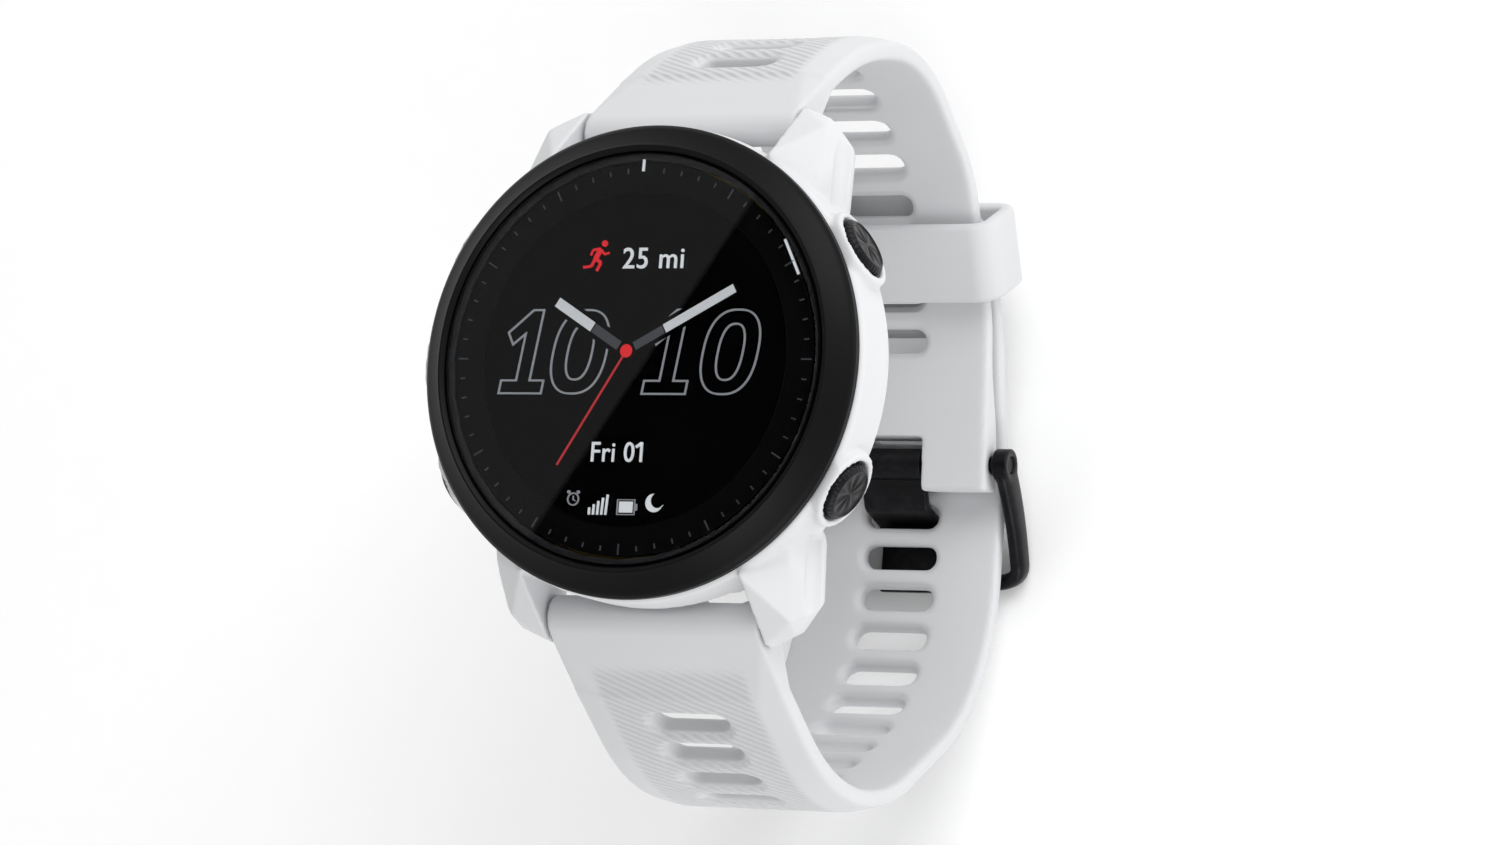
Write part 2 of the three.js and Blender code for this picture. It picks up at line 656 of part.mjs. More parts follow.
function contactBlock() {
  const block = plate(8.4 - 2 * seal, 3.4 - 2 * seal, 0.4, 0, contactY, backZ + 0.5, seatUnder - 0.4);
  const holes = contactX.map((x) =>
    placed(disc(0.55, 0, 5, 12), axisX, axisY, axisZ, new THREE.Vector3(x, contactY, 0)));
  return cut(block, ...holes);
}

function contactPin(x) {
  const pin = disc(0.45, backZ + 0.3, seatUnder + 0.2, 12);
  return placed(pin, axisX, axisY, axisZ, new THREE.Vector3(x, contactY, 0));
}

function springBar(sign) {
  return rodX(barRadius, -lugInnerX - 1.5, leverX + 0.2, sign * barY, barZ, 20);
}

// The collar, stud and end pin that a finger draws in to free the bar from its lug.
function releaseLever(sign) {
  const y = sign * barY;
  const collar = rodX(collarRadius, leverX, leverX + leverCollar, y, barZ, 20);
  const endPin = rodX(barRadius, leverX + leverCollar - 0.1, lugInnerX + 1.5, y, barZ, 20);
  const stud = box(leverX, leverX + 1.4, y - 0.5, y + 0.5, barZ - 3, barZ);
  const bore = rodX(barRadius + slip, leverX - 1, leverX + leverTravel + gap, y, barZ, 20);
  return cut(join(collar, endPin, stud), bore);
}

// ---- assembly ----

node("case_frame", caseFrame(), whitePolymer);
node("bezel", bezel(), blackPolymer);
node("lens", lens(), darkGlass);
node("lens_gasket", ring(lensRadius - 0.6, lensRadius, lensTop - 1.05, lensTop - 0.85), greyRubber);
node("dial_ring", ring(dialRadius, lensRadius - 0.9, lensTop - 1.3, lensTop - 1), dialBlack);
node("display_panel", disc(lensRadius - 1.45, lensTop - 2.1, lensTop - 1.4), dialBlack);
node("display_tray", disc(lensRadius - 1.15, lensTop - 2.8, lensTop - 2.2), steel);
node("antenna_ring", ring(boreRadius - 1.2, boreRadius - gap, 9.9, 10.6), gold);
node("chassis", chassis(), blackPolymer);
node("main_board", mainBoard(), boardGreen);
node("rf_shield", plate(14, 11, 1, -2, 1, 8.7, 9.9), steel);
node("battery", plate(24, 14, 2, 0, -0.5, 3.7, 7), cellGrey);
node("vibration_motor", placed(disc(3.4, 3.9, 6.6, 24), axisX, axisY, axisZ,
  new THREE.Vector3(0, 10.6, 0)), steel);
node("buzzer", placed(disc(3, 3.15, 3.5, 24), axisX, axisY, axisZ,
  new THREE.Vector3(8.2, 7.2, 0)), gold);
node("back_gasket", ring(
  seatRadius + 0.35 + seal, seatRadius + 1.1 - seal, seatUnder - 0.8, seatUnder - 0.1), greyRubber);
node("back_cover", backCover(), blackPolymer);
node("sensor_window", sensorWindow(), darkGlass);
node("sensor_board", disc(6.2, backZ + 1, backZ + 1.6, 32), boardGreen);
screwAngles.forEach((a, i) => node(`case_screw_${i + 1}`, screw(a), steel));
node("contact_block", contactBlock(), blackPolymer);
contactX.forEach((x, i) => node(`contact_pin_${i + 1}`, contactPin(x), gold));
for (const [name, degrees] of Object.entries(buttonAngles)) {
  node(`button_${name}`, button(degrees), blackMetal);
  node(`clip_${name}`, clip(degrees), steel);
  node(`seal_${name}`, radial(torus(1.2, 0.3, caseRadius - 1.5, 12, 4), degrees, buttonZ),
    greyRubber);
  node(`switch_${name}`, tactSwitch(degrees), steel);
}
node("strap_long", strapLong(), whiteSilicone);
node("strap_short", strapShort(), whiteSilicone);
node("spring_bar_6", springBar(-1), steel);
node("spring_bar_12", springBar(1), steel);
node("release_lever_6", releaseLever(-1), steel);
node("release_lever_12", releaseLever(1), steel);
node("keeper", keeper(), whiteSilicone);
node("buckle_pin", rodX(pinRadius, -armHigh + 0.2, armHigh - 0.2, pinY, pinZ, 24), steel);
node("buckle_frame", buckleFrame(), blackMetal);
node("buckle_tongue", buckleTongue(), blackMetal);

export default group;
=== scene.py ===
"""Looks of a GPS running watch: white moulded case and strap, black bezel, buttons and buckle.

Shapes are made in millimetres in the row frame (+Z leaves the lens, +Y is 12 o'clock) and
turned to metres once, when each piece is finished.
"""
import json
import math

import bmesh
import bpy
from mathutils import Matrix, Vector
from mathutils.kdtree import KDTree


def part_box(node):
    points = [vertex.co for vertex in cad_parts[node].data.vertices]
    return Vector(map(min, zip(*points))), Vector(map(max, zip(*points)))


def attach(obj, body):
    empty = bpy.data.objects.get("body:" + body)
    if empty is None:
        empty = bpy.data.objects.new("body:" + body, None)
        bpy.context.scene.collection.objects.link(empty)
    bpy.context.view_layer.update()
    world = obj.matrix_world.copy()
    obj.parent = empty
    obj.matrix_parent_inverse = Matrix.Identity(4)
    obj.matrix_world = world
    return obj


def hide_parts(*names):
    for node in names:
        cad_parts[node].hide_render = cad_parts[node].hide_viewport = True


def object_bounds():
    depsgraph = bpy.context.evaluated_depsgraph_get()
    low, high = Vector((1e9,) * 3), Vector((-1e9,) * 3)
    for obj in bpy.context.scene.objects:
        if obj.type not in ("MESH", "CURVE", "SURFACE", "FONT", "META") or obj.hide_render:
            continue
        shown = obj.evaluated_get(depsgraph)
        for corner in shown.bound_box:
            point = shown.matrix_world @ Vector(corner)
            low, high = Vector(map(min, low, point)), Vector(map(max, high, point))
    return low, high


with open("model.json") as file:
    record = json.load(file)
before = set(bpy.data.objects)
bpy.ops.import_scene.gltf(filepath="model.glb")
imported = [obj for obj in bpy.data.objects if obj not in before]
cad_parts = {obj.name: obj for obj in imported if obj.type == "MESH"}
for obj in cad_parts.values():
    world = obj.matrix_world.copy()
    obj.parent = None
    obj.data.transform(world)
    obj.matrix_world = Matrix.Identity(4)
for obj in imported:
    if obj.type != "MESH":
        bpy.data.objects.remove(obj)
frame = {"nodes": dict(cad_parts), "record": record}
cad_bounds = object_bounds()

MM = 0.001


def span(node, axis):
    """A CAD node's lowest and highest coordinate along an axis, in millimetres."""
    low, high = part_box(node)
    return low[axis] / MM, high[axis] / MM


# ---- sizes that the CAD gives ----
LENS_LOW, LENS_TOP = span("lens", 2)
LENS_RADIUS = span("lens", 0)[1]
BEZEL_LOW, _ = span("bezel", 2)
BEZEL_RADIUS = span("bezel", 0)[1]
RING_LOW, RING_TOP = span("dial_ring", 2)
PANEL_LOW, PANEL_TOP = span("display_panel", 2)
PANEL_RADIUS = span("display_panel", 0)[1]
STRAP_HALF = span("strap_long", 0)[1]
TONGUE_HALF = span("buckle_tongue", 0)[1]
LUG_REACH = span("case_frame", 1)[1] - 0.1
LUG_OUTER_X = 16.4
PIN_Y = sum(span("buckle_pin", 1)) / 2
PIN_Z = sum(span("buckle_pin", 2)) / 2
BAR_Y = sum(span("spring_bar_12", 1)) / 2
BAR_Z = sum(span("spring_bar_12", 2)) / 2
LEVER_LOW, _ = span("release_lever_12", 0)
FLOOR_Z = cad_bounds[0][2] / MM

# ---- sizes of the moulded parts ----
CASE_RADIUS = BAR_Y - 0.7
CASE_TOP = BEZEL_LOW - 0.3
BACK_Z = span("back_cover", 2)[0]
BORE_RADIUS = 19.2
SEAT_TOP = 4.4
SEAT_UNDER = 3.2
SEAT_RADIUS = 14.9
COVER_RADIUS = span("back_cover", 0)[1]
LUG_TIP_Z = 4.2
LUG_INNER_X = STRAP_HALF + 0.3
BUTTON_ANGLES = {"start": 29.5, "back": -29.5, "light": 150.5, "up": 180, "down": 209.5}
BUTTON_Z = 7.5
BUTTON_RADIUS = 2.8
BUTTON_FACE = 23.25
ROLL_RADIUS = 2.15
ROOT_LENGTH = 7  # from the strap's start to where its end has blended in
ROOT_THICKNESS = 2.5
BACK_THICKNESS = 2.1
HUB_THICKNESS = 4.1
SLOT_LENGTH = 8
SLOT_WIDTH = 2.4
SLOT_START = 9.5
LONG_PITCH = 4.2
SHORT_PITCH = 4.6
LOOP_REACH = 39.6
LOOP_DEPTH = 48.7
RAMP_Y = 12.8
RAMP_RISE = 3.4
TIP_RUN = 13.4
RAMP_SLOPE = math.radians(27)
LAYER_STEP = BACK_THICKNESS + 0.3
KEEPER_Y = 18.6
KEEPER_LENGTH = 8
KEEPER_WALL = 1.5
ARM_LOW = STRAP_HALF + 0.5
ARM_HIGH = ARM_LOW + 1.6
CROSS_BAR_RADIUS = 0.8
BAR_REACH = 11.1
CROSS_BAR = (PIN_Y - BAR_REACH, -LOOP_DEPTH - BACK_THICKNESS - 0.45 - CROSS_BAR_RADIUS)
TONGUE_THICKNESS = 0.9

GROOVE_PITCH = 0.85  # along the strap
GROOVE_LEAN = 0.62  # how far a groove runs along the strap per millimetre across it
GROOVE_DEPTH = 0.06
GROOVE_PAINTED_SHADE = 0.08  # painted shade: how much darker the bottom of a groove is painted
SOFT_EDGE = 0.25  # grid that moulded edges are rounded on
DISC_RADIUS = 15.4  # inner edge of the printed ring
BARREL_RADIUS = 1.6
EYE_RADIUS = 1.65
ARM_HALF_HEIGHT = 1.3
ARM_CORNER = 3.2
PIN_HOLE_RADIUS = 0.88
STRAP_PIN_HOLE = 0.86
BAR_BORE = 0.9
NOTCH_REACH = 1.15  # from the bar's axis to the inner faces of its finger notch
STRAP_MARGIN = 2.6  # width of the strap's rounded edge
CARD_HEIGHT = 300
CARD_EDGE = ((-128.4, 72.4), (-163.3, 18.7))  # where the grey card meets the black one


# ---- materials ----

def linear(hex_colour):
    """An sRGB hex colour as linear red, green, blue, alpha."""
    values = []
    for i in (0, 2, 4):
        c = int(hex_colour[i:i + 2], 16) / 255
        values.append(c / 12.92 if c <= 0.04045 else ((c + 0.055) / 1.055) ** 2.4)
    return (*values, 1.0)


def add(tree, kind, inputs=None, **settings):
    """Adds a node; each input is a value, or another node's output to link."""
    made = tree.nodes.new(kind)
    for key, value in settings.items():
        setattr(made, key, value)
    for key, value in (inputs or {}).items():
        if isinstance(value, bpy.types.NodeSocket):
            tree.links.new(value, made.inputs[key])
        else:
            made.inputs[key].default_value = value
    return made


def blank(name):
    """A material with no nodes and its output node."""
    made = bpy.data.materials.new(name)
    made.use_nodes = True
    made.node_tree.nodes.clear()
    return made, made.node_tree, made.node_tree.nodes.new("ShaderNodeOutputMaterial")


def patterned(tree, out, tones, gloss, relief, settings):
    """A shader whose colour, roughness and fine relief each follow a pattern, joined to the
    material's output. Tones and gloss are a pattern and two limits; relief is a pattern, a
    depth in millimetres and a strength. Gloss and relief may be None."""
    pattern, dark, light = tones
    led = {"Base Color": add(tree, "ShaderNodeMix",
                             {0: pattern, 6: linear(dark), 7: linear(light)},
                             data_type="RGBA").outputs[2]}
    if gloss:
        pattern, low, high = gloss
        led["Roughness"] = add(tree, "ShaderNodeMapRange",
                               {"Value": pattern, "To Min": low, "To Max": high}).outputs["Result"]
    if relief:
        pattern, depth_mm, strength = relief
        led["Normal"] = add(tree, "ShaderNodeBump",
                            {"Height": pattern, "Distance": depth_mm * MM, "Strength": strength},
                            ).outputs["Normal"]
    shader = add(tree, "ShaderNodeBsdfPrincipled", {**led, **settings})
    tree.links.new(shader.outputs[0], out.inputs[0])


def moulded_polymer():
    """Glass-filled polymer from a spark-eroded mould: an even white with a fine satin grain."""
    made, tree, out = blank("moulded_polymer_white")
    point = add(tree, "ShaderNodeTexCoord").outputs["Object"]
    cloud = add(tree, "ShaderNodeTexNoise",
                {"Vector": point, "Scale": 1 / (9 * MM), "Detail": 3.0}).outputs["Fac"]
    satin = add(tree, "ShaderNodeTexNoise",
                {"Vector": point, "Scale": 1 / (0.35 * MM), "Detail": 3.0, "Roughness": 0.6},
                ).outputs["Fac"]
    patterned(tree, out, (cloud, "cccdcf", "d2d3d5"), (satin, 0.40, 0.52), (satin, 0.012, 0.6), {
        "IOR": 1.54,
        "Subsurface Weight": 0.04,
        "Subsurface Radius": (0.9 * MM, 0.9 * MM, 0.9 * MM),
        "Subsurface Scale": 1.0,
    })
    return made


def slanting_grooves(tree, direction, white):
    """Moulded grooves between smooth margins on the outer face: their normal, and their colour with
    painted shade in the groove bottoms.
    """
    along = add(tree, "ShaderNodeAttribute", attribute_name="along_mm").outputs["Fac"]
    across = add(tree, "ShaderNodeAttribute", attribute_name="across_mm").outputs["Fac"]
    outer = add(tree, "ShaderNodeAttribute", attribute_name="grooved").outputs["Fac"]
    lean = add(tree, "ShaderNodeMath", {0: across, 1: direction * GROOVE_LEAN, 2: along},
               operation="MULTIPLY_ADD").outputs[0]
    wave = add(tree, "ShaderNodeMath", {0: lean, 1: 2 * math.pi / GROOVE_PITCH},
               operation="MULTIPLY").outputs[0]
    ripple = add(tree, "ShaderNodeMath", {0: wave}, operation="SINE").outputs[0]
    held = add(tree, "ShaderNodeMath", {0: ripple, 1: outer}, operation="MULTIPLY").outputs[0]
    # Painted shade: the colour is scaled down towards each groove's bottom; the crests keep it.
    crest = add(tree, "ShaderNodeMath", {0: held, 1: GROOVE_PAINTED_SHADE, 2: 1},
                operation="MULTIPLY_ADD").outputs[0]
    groove_painted_shade = add(tree, "ShaderNodeMath", {0: outer, 1: -GROOVE_PAINTED_SHADE, 2: crest},
                 operation="MULTIPLY_ADD").outputs[0]
    white_with_painted_shade = add(tree, "ShaderNodeVectorMath", {0: white, "Scale": groove_painted_shade}, operation="SCALE")
    relief = add(tree, "ShaderNodeBump",
                 {"Height": held, "Distance": GROOVE_DEPTH * MM, "Strength": 1.0})
    return white_with_painted_shade.outputs[0], relief.outputs["Normal"]


def moulded_silicone(name, direction=0):
    """Liquid silicone rubber: soft white and slightly translucent, with grooves that slant one
    way or the other, their bottoms darkened with painted shade, or with none."""
    made, tree, out = blank(name)
    point = add(tree, "ShaderNodeTexCoord").outputs["Object"]
    satin = add(tree, "ShaderNodeTexNoise",
                {"Vector": point, "Scale": 1 / (0.5 * MM), "Detail": 3.0, "Roughness": 0.6},
                ).outputs["Fac"]
    cloud = add(tree, "ShaderNodeTexNoise",
                {"Vector": point, "Scale": 1 / (14 * MM)}).outputs["Fac"]
    white = add(tree, "ShaderNodeMix",
                {0: cloud, 6: linear("c9cacc"), 7: linear("cfd0d2")}, data_type="RGBA").outputs[2]
    fine = add(tree, "ShaderNodeBump",
               {"Height": satin, "Distance": 0.01 * MM, "Strength": 0.5})
    if direction:
        # The grooves bring painted shade into the colour, besides their relief.
        white, relief = slanting_grooves(tree, direction, white)
        tree.links.new(relief, fine.inputs["Normal"])
    gloss = add(tree, "ShaderNodeMapRange",
                {"Value": satin, "To Min": 0.50, "To Max": 0.64}).outputs["Result"]
    shader = add(tree, "ShaderNodeBsdfPrincipled", {
        "Base Color": white,
        "Roughness": gloss,
        "Normal": fine.outputs["Normal"],
        "IOR": 1.41,
        "Subsurface Weight": 0.12,
        "Subsurface Radius": (1.2 * MM, 1.1 * MM, 1.0 * MM),
        "Subsurface Scale": 1.0,
        "Sheen Weight": 0.08,
        "Sheen Roughness": 0.5,
    })
    tree.links.new(shader.outputs[0], out.inputs[0])
    return made


def filled_nylon(name, dark, light, roughness):
    """Glass-filled nylon: near black, with a close grain that scatters the light softly."""
    made, tree, out = blank(name)
    point = add(tree, "ShaderNodeTexCoord").outputs["Object"]
    speck = add(tree, "ShaderNodeTexNoise",
                {"Vector": point, "Scale": 1 / (0.3 * MM), "Detail": 4.0, "Roughness": 0.65},
                ).outputs["Fac"]
    cloud = add(tree, "ShaderNodeTexNoise", {"Vector": point, "Scale": 1 / (6 * MM)}).outputs["Fac"]
    gloss = (speck, roughness - 0.06, roughness + 0.06)
    patterned(tree, out, (cloud, dark, light), gloss, (speck, 0.012, 0.7), {
        "IOR": 1.53,
        "Specular IOR Level": 0.1,
    })
    return made


def coated_steel():
    """Stamped and cast steel with a black vapour coating: dark metal with a silky sheen,
    rubbed a little brighter on its high spots."""
    made, tree, out = blank("black_coated_steel")
    point = add(tree, "ShaderNodeTexCoord").outputs["Object"]
    blast = add(tree, "ShaderNodeTexNoise",
                {"Vector": point, "Scale": 1 / (0.12 * MM), "Detail": 3.0, "Roughness": 0.6},
                ).outputs["Fac"]
    wear = add(tree, "ShaderNodeTexNoise",
               {"Vector": point, "Scale": 1 / (2.5 * MM), "Detail": 4.0, "Roughness": 0.7},
               ).outputs["Fac"]
    worn = add(tree, "ShaderNodeMapRange",
               {"Value": wear, "From Min": 0.45, "From Max": 0.8}).outputs["Result"]
    patterned(tree, out, (worn, "1a1a1c", "2b2b2e"), (blast, 0.34, 0.46), (blast, 0.006, 0.5), {
        "Metallic": 0.85,
    })
    return made


def metal(name, dark, light, roughness, brushed_mm):
    """Bare or plated metal with fine tool marks in one direction."""
    made, tree, out = blank(name)
    point = add(tree, "ShaderNodeTexCoord").outputs["Object"]
    stretched = add(tree, "ShaderNodeMapping",
                    {"Vector": point, "Scale": (0.08, 1.0, 1.0)}).outputs[0]
    marks = add(tree, "ShaderNodeTexNoise",
                {"Vector": stretched, "Scale": 1 / (brushed_mm * MM), "Detail": 3.0}
                ).outputs["Fac"]
    gloss = (marks, roughness - 0.07, roughness + 0.07)
    patterned(tree, out, (marks, dark, light), gloss, (marks, 0.004, 0.5), {
        "Metallic": 1.0,
    })
    return made


def seal_rubber():
    """Nitrile rubber: dull dark grey with a faint dusty bloom."""
    made, tree, out = blank("nitrile_rubber")
    point = add(tree, "ShaderNodeTexCoord").outputs["Object"]
    bloom = add(tree, "ShaderNodeTexNoise",
                {"Vector": point, "Scale": 1 / (0.8 * MM), "Detail": 4.0}).outputs["Fac"]
    patterned(tree, out, (bloom, "1f1f21", "303033"), (bloom, 0.7, 0.9), (bloom, 0.01, 0.4), {
        "IOR": 1.52,
    })
    return made


def solder_mask():
    """Epoxy circuit board under green solder mask, with copper tracks showing as lighter lines."""
    made, tree, out = blank("solder_mask_green")
    point = add(tree, "ShaderNodeTexCoord").outputs["Object"]
    tracks = add(tree, "ShaderNodeTexBrick",
                 {"Vector": point, "Scale": 1 / (1.6 * MM), "Mortar Size": 0.04,
                  "Color1": linear("174a2e"), "Color2": linear("1b5434"),
                  "Mortar": linear("2f7a4c")})
    speckle = add(tree, "ShaderNodeTexNoise",
                  {"Vector": point, "Scale": 1 / (0.6 * MM)}).outputs["Fac"]
    gloss = add(tree, "ShaderNodeMapRange",
                {"Value": speckle, "To Min": 0.3, "To Max": 0.45}).outputs["Result"]
    relief = add(tree, "ShaderNodeBump",
                 {"Height": tracks.outputs["Fac"], "Distance": 0.03 * MM, "Strength": 0.5},
                 ).outputs["Normal"]
    shader = add(tree, "ShaderNodeBsdfPrincipled", {
        "Base Color": tracks.outputs["Color"],
        "Roughness": gloss,
        "Normal": relief,
        "IOR": 1.55,
    })
    tree.links.new(shader.outputs[0], out.inputs[0])
    return made


def lens_glass():
    """Chemically strengthened glass, flat and polished: clear, with one clean reflection."""
    made, tree, out = blank("strengthened_glass")
    point = add(tree, "ShaderNodeTexCoord").outputs["Object"]
    polish = add(tree, "ShaderNodeTexNoise",
                 {"Vector": point, "Scale": 1 / (4 * MM)}).outputs["Fac"]
    patterned(tree, out, (polish, "f4f6f8", "fafbfc"), None, None, {
        "Roughness": 0.0,
        "IOR": 1.51,
        "Transmission Weight": 1.0,
    })
    return made


def sensor_glass():
    """Dark tinted optical window of the heart-rate sensor: polished, nearly black."""
    made, tree, out = blank("tinted_sensor_window")
    point = add(tree, "ShaderNodeTexCoord").outputs["Object"]
    ring = add(tree, "ShaderNodeTexNoise",
               {"Vector": point, "Scale": 1 / (3 * MM)}).outputs["Fac"]
    patterned(tree, out, (ring, "08080a", "121216"), (ring, 0.04, 0.09), None, {
        "IOR": 1.52,
        "Coat Weight": 0.5,
        "Coat Roughness": 0.03,
    })
    return made


def display_film(name, dark, light):
    """Printed black film bonded behind the lens: no sheen of its own, nearly lightless."""
    made, tree, out = blank(name)
    point = add(tree, "ShaderNodeTexCoord").outputs["Object"]
    weave = add(tree, "ShaderNodeTexNoise", {"Vector": point, "Scale": 1 / (5 * MM)}).outputs["Fac"]
    patterned(tree, out, (weave, dark, light), (weave, 0.5, 0.7), None, {
        "IOR": 1.5,
        "Specular IOR Level": 0.03,
    })
    return made


def painted_glow_segment(name, hex_colour, glow):
    """A part of the reflective display: one even colour, with a fine grain in its gloss, and a
    painted glow in that colour.
    """
    made, tree, out = blank(name)
    point = add(tree, "ShaderNodeTexCoord").outputs["Object"]
    raster = add(tree, "ShaderNodeTexNoise",
                 {"Vector": point, "Scale": 1 / (0.12 * MM), "Detail": 1.0}).outputs["Fac"]
    gloss = add(tree, "ShaderNodeMapRange",
                {"Value": raster, "To Min": 0.5, "To Max": 0.6}).outputs["Result"]
    shader = add(tree, "ShaderNodeBsdfPrincipled", {
        "Base Color": linear(hex_colour),
        "Roughness": gloss,
        # Painted light: the segments glow in their own colour, standing in for the light they
        # reflect.
        "Emission Color": linear(hex_colour),
        "Emission Strength": glow,
        "Specular IOR Level": 0.1,
    })
    tree.links.new(shader.outputs[0], out.inputs[0])
    return made


POLYMER = moulded_polymer()
SILICONE_LONG = moulded_silicone("moulded_silicone_long", -1)
SILICONE_SHORT = moulded_silicone("moulded_silicone_short", 1)
SILICONE_PLAIN = moulded_silicone("moulded_silicone_plain")
BEZEL_NYLON = filled_nylon("bezel_nylon", "070708", "0b0b0c", 0.42)
BACK_NYLON = filled_nylon("back_cover_nylon", "17171a", "202023", 0.5)
BLACK_STEEL = coated_steel()
STEEL = metal("stainless_steel", "a7aaae", "c6c8cb", 0.28, 0.15)
GOLD = metal("gold_plating", "c99f45", "e2bd66", 0.22, 0.2)
FOIL = metal("cell_foil", "8d9196", "a5a9ad", 0.42, 0.5)
RUBBER = seal_rubber()
BOARD = solder_mask()
GLASS = lens_glass()
SENSOR = sensor_glass()
DISPLAY = display_film("display_film", "020202", "030304")
DIAL_PRINT = display_film("dial_ring_print", "0c0c0e", "0f0f11")
# The last number is each segment's painted glow strength.
SEGMENT_WHITE = painted_glow_segment("segment_white", "c4c6c8", 0.75)
SEGMENT_HAND = painted_glow_segment("segment_hand", "b2b4b6", 0.75)
SEGMENT_STEM = painted_glow_segment("segment_stem", "3c3d40", 0.75)
SEGMENT_OUTLINE = painted_glow_segment("segment_outline", "7d7f82", 0.75)
SEGMENT_FAINT = painted_glow_segment("segment_faint", "343639", 0.75)
SEGMENT_RED = painted_glow_segment("segment_red", "c3262b", 0.8)
SEGMENT_DARK_RED = painted_glow_segment("segment_dark_red", "a12c30", 0.8)


# ---- mesh tools ----

def mesh_object(name, vertices, faces):
    """A new object from vertices in millimetres, with its faces turned outwards."""
    data = bpy.data.meshes.new(name)
    data.from_pydata([tuple(v) for v in vertices], [], faces)
    work = bmesh.new()
    work.from_mesh(data)
    bmesh.ops.remove_doubles(work, verts=work.verts, dist=1e-5)
    bmesh.ops.recalc_face_normals(work, faces=work.faces)
    work.to_mesh(data)
    work.free()
    made = bpy.data.objects.new(name, data)
    bpy.context.scene.collection.objects.link(made)
    return made


def skin(name, rings, closed=False):
    """A skin through rings of equally many points, closed on itself or capped at both ends."""
    count, size = len(rings), len(rings[0])
    faces = []
    for i in range(count if closed else count - 1):
        for j in range(size):
            k, n = (j + 1) % size, (i + 1) % count
            faces.append([i * size + j, i * size + k, n * size + k, n * size + j])
    if not closed:
        faces.append(list(range(size)))
        faces.append([(count - 1) * size + j for j in range(size)])
    return mesh_object(name, [point for ring in rings for point in ring], faces)


def revolve(name, profile, segments=192, closed=False):
    """A profile of (radius, z) turned about Z; an open one starts and ends on the axis."""
    vertices, faces = [], []
    count = len(profile)
    for i in range(segments):
        a = 2 * math.pi * i / segments
        vertices += [(r * math.cos(a), r * math.sin(a), z) for r, z in profile]
    for i in range(segments):
        here, there = i * count, ((i + 1) % segments) * count
        for j in range(count if closed else count - 1):
            k = (j + 1) % count
            ring = [here + j, there + j, there + k, here + k]
            if profile[j][0] == 0:
                ring.remove(there + j)
            if profile[k][0] == 0:
                ring.remove(there + k)
            faces.append(ring)
    return mesh_object(name, vertices, faces)


def block(low, high):
    """A cutter: the box between two corners."""
    x, y, z = [sorted(pair) for pair in zip(low, high)]
    corners = [(i, j, k) for i in x for j in y for k in z]
    return hull("block", corners)


def hull(name, points):
    """The convex solid around some points."""
    work = bmesh.new()
    for p in points:
        work.verts.new(p)
    found = bmesh.ops.convex_hull(work, input=work.verts)
    loose = [v for v in found["geom_interior"] if isinstance(v, bmesh.types.BMVert)]
    bmesh.ops.delete(work, geom=loose, context="VERTS")
    bmesh.ops.recalc_face_normals(work, faces=work.faces)
    data = bpy.data.meshes.new(name)
    work.to_mesh(data)
    work.free()
    made = bpy.data.objects.new(name, data)
    bpy.context.scene.collection.objects.link(made)
    return made


def turn(made, x_axis, y_axis, z_axis, origin):
    """Moves a solid so that its own axes and origin go where the arguments say."""
    matrix = Matrix.Identity(4)
    for column, vector in enumerate((x_axis, y_axis, z_axis, origin)):
        for row in range(3):
            matrix[row][column] = vector[row]
    made.data.transform(matrix)
    return made


def rod(radius, start, end, segments=48):
    """A round bar between two points."""
    start, end = Vector(start), Vector(end)
    heading = (end - start).normalized()
    helper = Vector((0, 0, 1)) if abs(heading.z) < 0.9 else Vector((1, 0, 0))
    side = heading.cross(helper).normalized()
    length = (end - start).length
    made = revolve("rod", [(0, 0), (radius, 0), (radius, length), (0, length)], segments)
    return turn(made, side, heading.cross(side), heading, start)


def radial(made, degrees, z=BUTTON_Z):
    """Lays a solid built about Z so that its Z points out of the case."""
    a = math.radians(degrees)
    outward = Vector((math.cos(a), math.sin(a), 0))
    across = Vector((-math.sin(a), math.cos(a), 0))
    return turn(made, across, Vector((0, 0, 1)), outward, Vector((0, 0, z)))


def settle(made):
    """Applies an object's modifiers to its mesh."""
    bpy.context.view_layer.update()
    graph = bpy.context.evaluated_depsgraph_get()
    data = bpy.data.meshes.new_from_object(made.evaluated_get(graph))
    made.modifiers.clear()
    made.data = data


def combine(made, others, operation):
    """Joins other solids to this one, or cuts them from it, and removes them."""
    for other in others:
        step = made.modifiers.new("step", "BOOLEAN")
        step.operation = operation
        step.solver = "EXACT"
        step.object = other
    settle(made)
    for other in others:
        bpy.data.objects.remove(other)


def soften(made, grid=SOFT_EDGE, rounds=4):
    """Rebuilds a solid on a fine even grid and relaxes it, as a moulding's edges are."""
    step = made.modifiers.new("grid", "REMESH")
    step.mode = "VOXEL"
    step.voxel_size = grid
    step.adaptivity = 0.0
    relax = made.modifiers.new("relax", "SMOOTH")
    relax.factor = 0.5
    relax.iterations = rounds
    settle(made)


def finish(made, name, material, body, replaced=(), smooth=True, crease=None):
    """Turns a solid to metres and gives it its name, material and body, and hides the CAD nodes it
    replaces.
    """
    made.name = name
    made.data.name = name
    made.data.transform(Matrix.Scale(MM, 4))
    made.data.materials.clear()
    made.data.materials.append(material)
    for face in made.data.polygons:
        face.use_smooth = smooth
    if crease is not None:
        made.data.set_sharp_from_angle(angle=math.radians(crease))
    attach(made, body)
    if replaced:
        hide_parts(*replaced)
    return made


# ---- case ----

